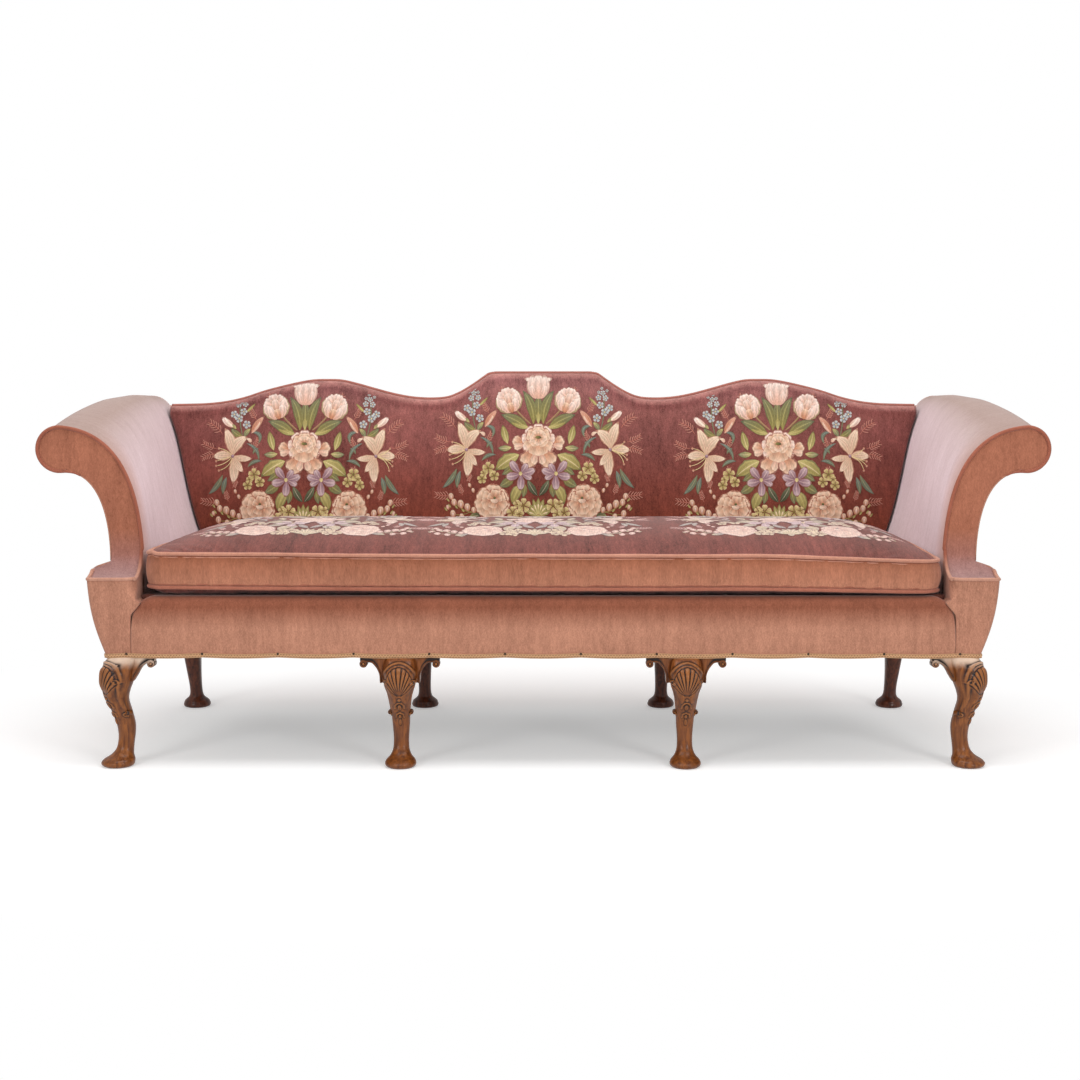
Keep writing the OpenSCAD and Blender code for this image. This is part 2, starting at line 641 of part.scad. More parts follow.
post_top = corner_z - rail_drop - top_rail_w - ease;
module back_post(side) {
    heights = [for (k = [0:6]) mix(rail_top + ease, post_top, k / 6)];
    color(beech) mirrored(side) raked_panel(
        concat([for (z = heights) [back_half(z) - ease, z]],
            [for (z = reversed(heights)) [back_half(z) - back_post_w, z]]),
        back_frame_t, cover_t + ease);
}
module left_back_post() { back_post(-1); }
module right_back_post() { back_post(1); }

lower_rail_rise = 70;
lower_rail_z = rail_top + lower_rail_rise;
lower_rail_h = 55;
module back_lower_rail() {
    half_low = back_half(lower_rail_z) - back_post_w - 2 * ease;
    half_high = back_half(lower_rail_z + lower_rail_h) - back_post_w - 2 * ease;
    color(beech) raked_panel(
        [[-half_low, lower_rail_z], [half_low, lower_rail_z],
            [half_low, lower_rail_z + lower_rail_h], [-half_low, lower_rail_z + lower_rail_h]],
        back_frame_t, cover_t + ease);
}

// Room above an inner post for the hollow of the rail between its corners
post_room = 2;
module inner_back_posts() {
    low = lower_rail_z + lower_rail_h + ease;
    sides = [mid_leg_x - back_post_w / 2, mid_leg_x + back_post_w / 2];
    drop = rail_drop + top_rail_w + ease + post_room;
    color(beech) both_sides() raked_panel(
        [[sides[0], low], [sides[1], low],
            [sides[1], crest_z(sides[1] / corner_x) - drop], [sides[0], crest_z(sides[0] / corner_x) - drop]],
        back_frame_t, cover_t + ease);
}

// Outline of the outside back, from the rail up round the arm scrolls and over the crest
function outside_outline() =
    let(y = back_meet_y, over = arm_over(y), under = arm_under(y),
        arm = concat(reversed(under), reversed(over)),
        arm_side = [for (p = arm) [seat_half + p[0], arm_z + p[1]]],
        count = len(under) + len(over),
        upper = [for (i = [0:count - 1]) let(p = arm_side[i])
            if (i < len(under) + 6 || p[1] > corner_z) p],
        half = concat([[border_x + side_bulge * border_foot_share, leg_h]],
            [for (p = side_bow()) if (p[1] > leg_h + overrun) p], upper,
            [for (i = [len(back_crest_shares) - 1:-1:1])
                let(s = back_crest_shares[i][0]) [s * back_half(crest_z(s)), crest_z(s)]]))
    concat(half, [for (p = reversed(half)) [-p[0], p[1]]]);

module outside_back_cover() {
    color(salmon) raked_panel([for (p = outside_outline()) [p[0], max(leg_h, p[1] - edge_lift(cover_t))]],
        cover_t, 0);
}

// Flat of the crest between its rounded front edge and the middle of the piping
crest_flat = 8;
module back_top_piping() {
    crest = [for (s = crest_columns) if (abs(s) < 1) [s * corner_x, crest_z(s)]];
    color(terracotta) tube([for (p = moved_in(crest, -piping_r - ease))
        [p[0], face_y(p[1]) + back_edge_r + crest_flat, p[1]]], piping_r);
}

// Legs: rings of a squared circle, stacked from the rail to the floor
ring_points = 16;
// Fullness of a corner leg, whose section is alike both ways
corner_full_share = 1.05;
// The size that a station's half widths follow
function leg_size(height, leg_w, foot_d) = height < foot_share ? foot_d : leg_w;
function squared(a, n) = let(c = cos(a), s = sin(a))
    [sign(c) * pow(abs(c), 2 / n), sign(s) * pow(abs(s), 2 / n)];
function leg_ring(centre, half, n, z) = [for (k = [0:ring_points - 1])
    let(q = squared(360 * k / ring_points, n)) [centre[0] + half[0] * q[0], centre[1] + half[1] * q[1], z]];

// A cabriole leg that leans toward a direction, its top square to the rails
module front_leg(x, lean) {
    corner = abs(lean[0]) > 0;
    color(walnut) translate([x, leg_y, 0]) loft([for (s = front_leg_shares)
        let(half = leg_size(s[0], knee_w, front_foot_d) / 2, even = s[3] * half * corner_full_share)
        leg_ring(lean * s[1] * knee_w / 2, corner ? [even, even] : [s[3] * half, s[2] * half], s[4],
            s[0] * leg_h)]);
}

module far_left_front_leg() { front_leg(-corner_leg_x, unit([-1, -1])); }
module mid_left_front_leg() { front_leg(-mid_leg_x, [0, -1]); }
module mid_right_front_leg() { front_leg(mid_leg_x, [0, -1]); }
module far_right_front_leg() { front_leg(corner_leg_x, unit([1, -1])); }

// A bracket beside a knee: a cove that runs out to a small volute below the rail. Its shares are of
// its length from the knee and of its height
volute_drop = 6;
bracket_shares = [
    [0, 1], [0.16, 0.985], [0.175, 0.86], [0.18, 0.716], [0.22, 0.57], [0.3, 0.42], [0.417, 0.282],
    [0.534, 0.2], [0.66, 0.21]
];
corner_bracket_shares = [[0.05, 0.94], [0.15, 0.8], [0.236, 0.68], [0.4, 0.42], [0.636, 0.25], [0.74, 0.24]];
corner_bracket_share = 0.97;
corner_start_share = 0.28;
module bracket(root, start, length, shares) {
    rotate([90, 0, 0]) linear_extrude(bracket_t) {
        polygon(concat(root, [for (s = shares) [start + s[0] * length, -s[1] * bracket_h]],
            [[start + length, -volute_r], [start + length, 0]]));
        translate([start + length - volute_r, -volute_r - volute_drop]) circle(volute_r, $fn = 32);
    }
}

module knee_bracket() {
    start = knee_w / 2 + ease;
    bracket([[start, 0]], start, bracket_l, bracket_shares);
}

// Its root follows the inner side of a corner leg, which leans away from it
module corner_bracket() {
    root = [for (s = front_leg_shares) if ((1 - s[0]) * leg_h < bracket_h * corner_bracket_shares[1][1])
        [knee_w / 2 * (s[3] * corner_full_share - s[1] * sqrt(1 / 2)) + ease, (s[0] - 1) * leg_h]];
    bracket(root, knee_w * corner_start_share, bracket_l * corner_bracket_share, corner_bracket_shares);
}

module middle_knee_brackets() {
    color(walnut) both_sides() translate([mid_leg_x, front_y + bracket_t, leg_h]) both_sides() knee_bracket();
}

module corner_knee_brackets() {
    side_y = leg_y + bracket_t / 2;
    color(walnut) both_sides() {
        translate([corner_leg_x, front_y + bracket_t, leg_h]) mirror([1, 0, 0]) corner_bracket();
        translate([corner_leg_x + leg_top_w / 2 - bracket_t, leg_y, leg_h]) rotate([0, 0, 90])
            corner_bracket();
    }
}

module rear_leg(x) {
    top_y = rear_y(leg_h) - rear_leg_w / 2;
    color(dark_walnut) translate([x, top_y, 0]) loft([for (s = rear_leg_shares)
        let(half = s[2] * leg_size(s[0], rear_leg_w, rear_foot_d) / 2)
        leg_ring([0, s[1] * rear_leg_kick], [half, half], s[3], s[0] * leg_h)]);
}

module far_left_rear_leg() { rear_leg(-corner_leg_x); }
module mid_left_rear_leg() { rear_leg(-mid_leg_x); }
module mid_right_rear_leg() { rear_leg(mid_leg_x); }
module far_right_rear_leg() { rear_leg(corner_leg_x); }

// Seat suspension: three bays of webbing, springs, hessian and stuffing
webbing_t = 3;
hessian_t = 2;
stuffing_t = 18;
webbing_z = leg_h + cross_rail_h;
hessian_z = deck_z - cover_t - stuffing_t - hessian_t;
deep_end = rear_y(leg_h) - cover_t - rail_t - 2 * ease;
seat_in = rail_x - ease;

module seat_webbing() {
    across = 6;
    along = 18;
    top = webbing_z + webbing_t;
    color(linen) {
        for (i = [0:across - 1])
            let(y = bay_y + (i + 0.5) * (deep_end - bay_y) / across)
            block([-seat_in, y - webbing_w / 2, webbing_z], [seat_in, y + webbing_w / 2, top]);
        for (i = [0:along - 1])
            let(x = -seat_in + (i + 0.5) * 2 * seat_in / along)
            block([x - webbing_w / 2, bay_y, webbing_z], [x + webbing_w / 2, deep_end, top]);
    }
}

spring_turns = 3;
spring_rings = 8;
spring_columns = 5;
spring_rows = 3;
module seat_springs() {
    low = webbing_z + webbing_t + ease + spring_wire_d / 2;
    high = hessian_z - ease - spring_wire_d / 2;
    step_x = 2 * seat_in / spring_columns;
    step_y = (deep_end - bay_y) / spring_rows;
    steps = spring_turns * spring_rings;
    color(steel) for (i = [0:spring_columns - 1], j = [0:spring_rows - 1])
        translate([(i + 0.5) * step_x - seat_in, bay_y + (j + 0.5) * step_y, 0])
        tube([for (k = [0:steps]) let(a = 360 * k / spring_rings)
            [spring_d / 2 * cos(a), spring_d / 2 * sin(a), mix(low, high, k / steps)]], spring_wire_d / 2, 4);
}

module seat_layer(z, t) {
    half = seat_half - ease;
    translate([-half, 0, 0]) rotate([90, 0, 90]) linear_extrude(2 * half)
        polygon([[bay_y + ease, z], [frame_face_y(z) - ease, z],
            [frame_face_y(z + t) - ease, z + t], [bay_y + ease, z + t]]);
}

module seat_hessian() { color(linen) seat_layer(hessian_z, hessian_t); }
module seat_stuffing() { color(linen) seat_layer(hessian_z + hessian_t, stuffing_t); }
module seat_deck_cover() { color(mauve) seat_layer(deck_z - cover_t, cover_t); }

module front_border_cover() {
    roll_y = front_y + front_roll_r;
    profile = concat([[front_y, leg_h]],
        arc_points([roll_y, deck_z - front_roll_r], front_roll_r, 180, 90, 8),
        [[bay_y, deck_z], [bay_y, rail_top], [front_rail_y, rail_top], [front_rail_y, leg_h]]);
    half_low = border_in - ease;
    front_outline = concat([[half_low, leg_h]], border_end(border_in - ease));
    color(salmon) intersection() {
        translate([-half_low, 0, 0]) rotate([90, 0, 90]) linear_extrude(2 * half_low) polygon(profile);
        translate([0, bay_y + overrun, 0]) rotate([90, 0, 0]) linear_extrude(rail_t + border_t + 2 * overrun)
            polygon(concat(front_outline, [for (p = reversed(front_outline)) [-p[0], p[1]]]));
    }
}

dust_t = 2;
module dust_cover() {
    color(black_cotton) difference() {
        block([-seat_in, bay_y + ease, leg_h], [seat_in, deep_end, leg_h + dust_t]);
        both_sides() {
            block([mid_leg_x - rail_t / 2 - ease, bay_y - overrun, leg_h - overrun],
                [mid_leg_x + rail_t / 2 + ease, deep_end + overrun, leg_h + dust_t + overrun]);
            block([seat_in - block_leg - overrun, bay_y - overrun, leg_h - overrun],
                [seat_in + overrun, bay_y + block_leg + overrun, leg_h + dust_t + overrun]);
            block([seat_in - block_leg - overrun, deep_end - block_leg - overrun, leg_h - overrun],
                [seat_in + overrun, deep_end + overrun, leg_h + dust_t + overrun]);
        }
    }
}

// Trim: the braid along the sides clears the bow of the border over its height
gimp_x = border_x + side_bulge * border_foot_share;
gimp_lean_share = 0.45;
module gimp_braid() {
    side_x = gimp_x + gimp_h * gimp_lean_share;
    color(braid_gold) {
        block([-gimp_x, front_y - gimp_t, leg_h], [gimp_x, front_y, leg_h + gimp_h]);
        both_sides()
            block([side_x, front_y - gimp_t, leg_h],
                [side_x + gimp_t, rear_y(leg_h) - overrun, leg_h + gimp_h]);
    }
}

nail_pitch = 178;
nail_count = floor(2 * border_x / nail_pitch) + 1;
module trim_nails() {
    color(dark_walnut) for (i = [0:nail_count - 1])
        translate([(i - (nail_count - 1) / 2) * nail_pitch, front_y, leg_h + gimp_h + nail_d / 2])
            rotate([90, 0, 0]) cylinder(h = nail_d / 4, d = nail_d, $fn = 24);
}

// Cushion: a grid that is square in the middle and drawn in along its sides
cushion_half = seat_half - cushion_side_gap;
cushion_low = deck_z + ease + cushion_sag;
cushion_high = cushion_low + boxing_h;
cushion_front = front_y + cushion_setback;
low_swell_share = 0.5;
cushion_rear = face_y(cushion_low) - back_crown * low_swell_share - cushion_back_gap;
cushion_mid = (cushion_front + cushion_rear) / 2;
cushion_deep = (cushion_rear - cushion_front) / 2;
cushion_corner_r = 42;
corner_steps = 3;
side_steps = [4, 2];
// One quarter of the cushion's plan, from the middle of a short side to the middle of a long one
function cushion_quarter() =
    let(c = [cushion_half - cushion_corner_r, cushion_deep - cushion_corner_r])
    concat([for (k = [0:side_steps[1] - 1]) [cushion_half, c[1] * k / side_steps[1]]],
        arc_points(c, cushion_corner_r, 0, 90, corner_steps),
        [for (k = [1:side_steps[0] - 1]) [c[0] * (1 - k / side_steps[0]), cushion_deep]]);
function drawn(p) = let(u = p[0] / cushion_half, v = p[1] / cushion_deep)
    [p[0] - sign(u) * cushion_draw * pow(abs(v), 4), p[1] - sign(v) * cushion_draw / 2 * pow(abs(u), 6)];
cushion_plan = let(q = cushion_quarter(), n = len(q)) [for (p = concat(q, [[0, cushion_deep]],
    [for (i = [n - 1:-1:0]) [-q[i][0], q[i][1]]], [for (i = [1:n - 1]) [-q[i][0], -q[i][1]]],
    [[0, -cushion_deep]], [for (i = [n - 1:-1:1]) [q[i][0], -q[i][1]]])) drawn(p)];
// Plan outline of the cushion, moved inward by d
function cushion_edge(d) = let(n = len(cushion_plan)) [for (k = [0:n - 1])
    let(along = unit(cushion_plan[(k + 1) % n] - cushion_plan[(k + n - 1) % n]),
        p = cushion_plan[k] + d * [-along[1], along[0]]) [p[0], cushion_mid + p[1]]];

// Rings of a domed panel from its edge to its middle
dome_shares = [[1, 0], [0.92, 0.42], [0.7, 0.82], [0.3, 1]];
flat_dome_shares = [[1, 0], [0.7, 0.82], [0.3, 1]];
function dome(z, rise, d, shares = dome_shares) = [for (s = shares) [for (p = cushion_edge(d))
    [p[0] * s[0], cushion_mid + (p[1] - cushion_mid) * s[0], z + rise * s[1]]]];

module cushion_panel(z, rise, t, shares) {
    loft(concat(reversed(dome(z, rise, 0, shares)), dome(z - t, rise, 0, shares)));
}

module cushion_top_cover() {
    color(mauve) cushion_panel(cushion_high, cushion_crown, cover_t, dome_shares);
}
module cushion_bottom_cover() {
    color(mauve) cushion_panel(cushion_low + cover_t, -cushion_sag, cover_t, flat_dome_shares);
}

module cushion_boxing() {
    low = cushion_low + cover_t + ease;
    high = cushion_high - cover_t - ease;
    color(salmon) loft([for (q = [[0, low], [0, high], [cover_t, high], [cover_t, low]])
        [for (p = cushion_edge(q[0])) [p[0], p[1], q[1]]]], true);
}

module cushion_filling() {
    d = cover_t + ease;
    color(linen) loft(concat(reversed(dome(cushion_low + d, -cushion_sag, d, flat_dome_shares)),
        dome(cushion_high - d, cushion_crown, d, flat_dome_shares)));
}

module cushion_piping() {
    color(terracotta) for (z = [cushion_low, cushion_high])
        tube([for (p = cushion_edge(-piping_r)) [p[0], p[1], z]], piping_r, 5, true);
}

front_seat_rail();
rear_seat_rail();
left_seat_rail();
right_seat_rail();
seat_cross_rails();
corner_blocks();
left_arm_front_post();
right_arm_front_post();
left_arm_rear_post();
right_arm_rear_post();
left_arm_top_rail();
right_arm_top_rail();
left_back_post();
right_back_post();
inner_back_posts();
back_top_rail();
back_lower_rail();
far_left_front_leg();
mid_left_front_leg();
mid_right_front_leg();
far_right_front_leg();
middle_knee_brackets();
corner_knee_brackets();
far_left_rear_leg();
mid_left_rear_leg();
mid_right_rear_leg();
far_right_rear_leg();
seat_webbing();
seat_springs();
seat_hessian();
seat_stuffing();
seat_deck_cover();
front_border_cover();
dust_cover();
left_arm_stuffing();
right_arm_stuffing();
left_inside_arm_cover();
right_inside_arm_cover();
left_outside_arm_cover();
right_outside_arm_cover();
left_arm_facing();
right_arm_facing();
left_arm_piping();
right_arm_piping();
left_side_border();
right_side_border();
left_ear_pad();
right_ear_pad();
back_pad();
inside_back_cover();
outside_back_cover();
back_top_piping();
gimp_braid();
trim_nails();
cushion_filling();
cushion_top_cover();
cushion_bottom_cover();
cushion_boxing();
cushion_piping();
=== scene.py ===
import math

import bmesh
import bpy
import numpy as np
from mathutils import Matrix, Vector
from mathutils.bvhtree import BVHTree
from mathutils.geometry import delaunay_2d_cdt


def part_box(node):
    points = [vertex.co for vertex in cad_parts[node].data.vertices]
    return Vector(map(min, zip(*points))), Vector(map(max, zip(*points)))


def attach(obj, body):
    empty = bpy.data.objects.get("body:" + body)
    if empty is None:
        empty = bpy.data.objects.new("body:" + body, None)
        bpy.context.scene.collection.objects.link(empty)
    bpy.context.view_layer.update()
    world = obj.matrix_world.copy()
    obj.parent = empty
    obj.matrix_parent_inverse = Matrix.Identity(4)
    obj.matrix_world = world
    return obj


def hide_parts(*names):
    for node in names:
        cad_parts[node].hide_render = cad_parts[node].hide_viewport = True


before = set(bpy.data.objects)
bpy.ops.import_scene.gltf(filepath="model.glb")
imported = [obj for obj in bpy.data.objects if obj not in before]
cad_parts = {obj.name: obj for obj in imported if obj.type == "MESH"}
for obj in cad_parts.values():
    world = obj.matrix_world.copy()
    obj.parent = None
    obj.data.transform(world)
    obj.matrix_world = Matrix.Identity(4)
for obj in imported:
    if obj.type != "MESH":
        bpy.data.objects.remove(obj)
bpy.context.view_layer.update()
scene = bpy.context.scene
scene.view_settings.view_transform = "Standard"

# Sizes from the frame, in metres
arm_low, arm_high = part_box("right_inside_arm_cover")
facing_low, facing_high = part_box("right_arm_facing")
rail_low, rail_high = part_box("front_seat_rail")
border_low, border_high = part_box("front_border_cover")
seat_half = arm_low.x
arm_out = arm_high.x
arm_crest = arm_high.z
arm_y = arm_low.y
facing_top = facing_high.z
facing_y = facing_low.y
border_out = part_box("right_side_border")[1].x
front_y = border_low.y
deck_z = border_high.z
leg_h = rail_low.z
rail_top = rail_high.z
bay_y = rail_high.y
back_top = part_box("inside_back_cover")[1].z
ear_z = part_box("right_arm_piping")[0].z
half_turn = math.pi
mm = 0.001

# Sizes that follow the form of the sofa, in metres
rake_run = math.tan(math.radians(11))
cover_t = 0.004
rear_foot_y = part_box("outside_back_cover")[0].y + cover_t
piping_r = 0.0045
back_t = 0.1
back_crown = 0.02
back_side_r = 0.01
back_edge_r = 0.022
back_side_gap = 0.0045
crest_drop = 0.092
ear_rise = 0.012
ear_flat = 0.007
ear_in_r = 0.03
ear_out_r = 0.014
ledge_rise = 0.004
scroll_r = 0.051
front_roll_r = 0.025
side_bulge = 0.072
thin_skin_t = 0.003
skin_t = 0.004

arm_z = ear_z + ear_rise
arm_w = arm_out - seat_half
arm_h = facing_top - arm_z
arm_rise = arm_crest - facing_top
cove_r = facing_y - front_y - ear_flat
cove_top = ear_z + cove_r


def rear_y(z):
    """The plane of the outside back."""
    return rear_foot_y + (z - leg_h) * rake_run


def face_y(z):
    """The plane of the back's front, before its swell."""
    return rear_y(z) - back_t


back_meet_y = face_y(deck_z) - back_crown


# Small tools
def mix(a, b, t):
    return a + (b - a) * t


def smooth(t):
    t = np.clip(t, 0, 1)
    return t * t * (3 - 2 * t)


def bezier(points, ts):
    p = np.array(points, float)
    t = np.asarray(ts, float)[:, None]
    early = (1 - t) ** 3 * p[0] + 3 * t * (1 - t) ** 2 * p[1]
    return early + 3 * t * t * (1 - t) * p[2] + t ** 3 * p[3]


def arc(centre, r, start, end, n):
    a = np.radians(np.linspace(start, end, n))
    return np.stack([centre[0] + r * np.cos(a), centre[1] + r * np.sin(a)], 1)


def resampled(line, n):
    """The same line with n points, evenly spaced along it."""
    line = np.asarray(line, float)
    gone = np.concatenate([[0], np.cumsum(np.linalg.norm(np.diff(line, axis=0), axis=1))])
    at = np.linspace(0, gone[-1], n)
    return np.stack([np.interp(at, gone, line[:, k]) for k in range(line.shape[1])], 1)


def through(points, n):
    """A smooth line with n points through a few given ones."""
    p = np.asarray(points, float)
    p = np.vstack([2 * p[0] - p[1], p, 2 * p[-1] - p[-2]])
    out = []
    for k in range(1, len(p) - 2):
        a, b, c, d = p[k - 1], p[k], p[k + 1], p[k + 2]
        for t in np.linspace(0, 1, 13)[:-1]:
            out.append(0.5 * (2 * b + (c - a) * t + (2 * a - 5 * b + 4 * c - d) * t * t
                              + (3 * b - a - 3 * c + d) * t ** 3))
    out.append(p[-2])
    return resampled(out, n)


def directions(path):
    """Unit vectors along a path."""
    ahead = np.gradient(np.asarray(path, float), axis=0)
    return ahead / np.linalg.norm(ahead, axis=1)[:, None]


def right_of(ahead):
    return np.stack([ahead[:, 1], -ahead[:, 0]], 1)


def ripple(*values, seed):
    """A smooth wandering value between -1 and 1 that is the same on each run."""
    total = 0
    for k, v in enumerate(values):
        total = total + np.sin(v * (1.0 + 0.37 * k) + seed * 1.7 + k)
        total = total + 0.6 * np.sin(v * 2.3 + seed * 2.9 + 2 * k)
    return total / (1.6 * len(values))


# Meshes
def add_mesh(name, points, faces):
    mesh = bpy.data.meshes.new(name)
    mesh.from_pydata([tuple(p) for p in np.asarray(points, float)], [], faces)
    mesh.validate()
    mesh.polygons.foreach_set("use_smooth", [True] * len(mesh.polygons))
    obj = bpy.data.objects.new(name, mesh)
    scene.collection.objects.link(obj)
    return obj


def grid_faces(rows, cols, loop=False, start=0):
    last = cols if loop else cols - 1
    return [(start + j * cols + i, start + j * cols + (i + 1) % cols,
             start + (j + 1) * cols + (i + 1) % cols, start + (j + 1) * cols + i)
            for j in range(rows - 1) for i in range(last)]


def attribute(obj, name, values):
    layer = obj.data.attributes.new(name, "FLOAT", "POINT")
    layer.data.foreach_set("value", np.asarray(values, float).ravel())


class Form:
    """Gathers grids of points into one mesh, with a value for each point. loop joins the ends of
    each row, and capped closes the first and the last row."""

    def __init__(self):
        self.points, self.faces, self.values, self.count = [], [], [], 0

    def add(self, grid, loop=False, capped=False, value=0.0):
        grid = np.asarray(grid, float)
        rows, cols = grid.shape[:2]
        self.faces += grid_faces(rows, cols, loop, self.count)
        if capped:
            last = self.count + (rows - 1) * cols
            self.faces.append(tuple(range(self.count + cols - 1, self.count - 1, -1)))
            self.faces.append(tuple(range(last, last + cols)))
        self.points.append(grid.reshape(-1, 3))
        self.values.append(np.broadcast_to(value, (rows, cols)).reshape(-1))
        self.count += rows * cols

    def add_solid(self, grid, value=0.0):
        self.add(grid, loop=True, capped=True, value=value)

    def make(self, name, value_name=None):
        obj = add_mesh(name, np.vstack(self.points), self.faces)
        if value_name:
            attribute(obj, value_name, np.concatenate(self.values))
        return obj


def add_grids(name, *grids, **ends):
    form = Form()
    for grid in grids:
        form.add(grid, **ends)
    return form.make(name)


def outward(obj):
    """Turns the faces of a closed form outward."""
    bm = bmesh.new()
    bm.from_mesh(obj.data)
    bmesh.ops.recalc_face_normals(bm, faces=bm.faces)
    bm.to_mesh(obj.data)
    bm.free()
    return obj


def tube_grid(path, r, sides=10, closed=False):
    """Rings of a round tube along a path, its frame carried from point to point."""
    p = np.asarray(path, float)
    ahead = np.roll(p, -1, 0) - np.roll(p, 1, 0) if closed else np.gradient(p, axis=0)
    ahead /= np.linalg.norm(ahead, axis=1)[:, None]
    up = np.array([0, 0, 1.0]) if abs(ahead[0][2]) < 0.9 else np.array([0, 1.0, 0])
    radii = np.broadcast_to(np.asarray(r, float), (len(p),))
    a = np.linspace(0, 2 * half_turn, sides, endpoint=False)
    rings = []
    for k in range(len(p)):
        up = up - ahead[k] * (up @ ahead[k])
        up /= np.linalg.norm(up)
        over = np.cross(ahead[k], up)
        rings.append(p[k] + radii[k] * (np.cos(a)[:, None] * up + np.sin(a)[:, None] * over))
    if closed:
        rings.append(rings[0])
    return np.array(rings)


def add_tube(name, path, r):
    return add_grids(name, tube_grid(path, r), loop=True, capped=True)


def mirrored(grid, side):
    out = np.array(grid, float)
    out[..., 0] *= side
    return out


def thicken(obj, thickness, into=-1):
    """Turns a skin's faces outward and gives it its thickness, on the inner side unless into is 1."""
    outward(obj)
    m = obj.modifiers.new("thickness", "SOLIDIFY")
    m.thickness = thickness
    m.offset = into
    return obj


def dress(obj, material, body, replaces=()):
    obj.data.materials.clear()
    obj.data.materials.append(material)
    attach(obj, body)
    if replaces:
        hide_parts(*replaces)


# Materials
def tint(r, g, b):
    """A colour as the eye reads it, 0 to 255, as shader values."""
    def linear(v):
        v /= 255
        return v / 12.92 if v <= 0.04045 else ((v + 0.055) / 1.055) ** 2.4
    return linear(r), linear(g), linear(b), 1


class Finish:
    """A material that is built node by node."""

    def __init__(self, name):
        self.material = bpy.data.materials.new(name)
        self.material.use_nodes = True
        self.tree = self.material.node_tree
        self.tree.nodes.clear()
        self.out = self.tree.nodes.new("ShaderNodeOutputMaterial")

    def node(self, kind, props=None, **inputs):
        node = self.tree.nodes.new("ShaderNode" + kind)
        for key, value in (props or {}).items():
            setattr(node, key, value)
        for key, value in inputs.items():
            self.set(node.inputs[key.replace("_", " ")], value)
        return node

    def set(self, socket, value):
        if isinstance(value, bpy.types.NodeSocket):
            self.tree.links.new(value, socket)
        else:
            socket.default_value = value

    def math(self, operation, a, b=0.0, c=0.0, clamp=False):
        node = self.node("Math", {"operation": operation, "use_clamp": clamp})
        for socket, value in zip(node.inputs, (a, b, c)):
            self.set(socket, value)
        return node.outputs[0]

    def scaled(self, value, factor, plus):
        return self.math("ADD", self.math("MULTIPLY", value, factor), plus)

    def weighted(self, first, *others):
        """The sum of values that are given with their weights."""
        total = self.math("MULTIPLY", *first)
        for value, weight in others:
            total = self.math("ADD", total, self.math("MULTIPLY", value, weight))
        return total

    def mix(self, factor, a, b, blend="MIX"):
        node = self.node("Mix", {"data_type": "RGBA", "blend_type": blend})
        self.set(node.inputs[0], factor)
        self.set(node.inputs[6], a)
        self.set(node.inputs[7], b)
        return node.outputs[2]

    def place(self, scale=(1, 1, 1)):
        coords = self.node("TexCoord").outputs["Object"]
        return self.node("Mapping", Vector=coords, Scale=scale).outputs[0]

    def noise(self, scale, detail, roughness=0.55, stretch=(1, 1, 1), distortion=0.0):
        return self.node("TexNoise", Vector=self.place(stretch), Scale=scale, Detail=detail,
                         Roughness=roughness, Distortion=distortion).outputs[0]

    def ramp(self, value, low, high):
        return self.node("MapRange", Value=value, From_Min=low, From_Max=high).outputs[0]

    def axis(self, name):
        coords = self.node("TexCoord").outputs["Object"]
        return self.node("SeparateXYZ", Vector=coords).outputs[name]

    def facing_up(self):
        normal = self.node("NewGeometry").outputs["Normal"]
        return self.node("SeparateXYZ", Vector=normal).outputs["Z"]

    def attr(self, name):
        return self.node("Attribute", {"attribute_name": name}).outputs["Fac"]

    def bump(self, height, distance, strength):
        return self.node("Bump", Height=height, Distance=distance, Strength=strength).outputs[0]

    def close(self, **inputs):
        shader = self.node("BsdfPrincipled", **inputs)
        self.tree.links.new(shader.outputs[0], self.out.inputs["Surface"])
        return self.material


ACROSS_X = (1.0, 1.0, 0.14)
ACROSS_Y = (0.14, 1.0, 0.14)
ALONG_Y = (1.0, 0.08, 0.08)


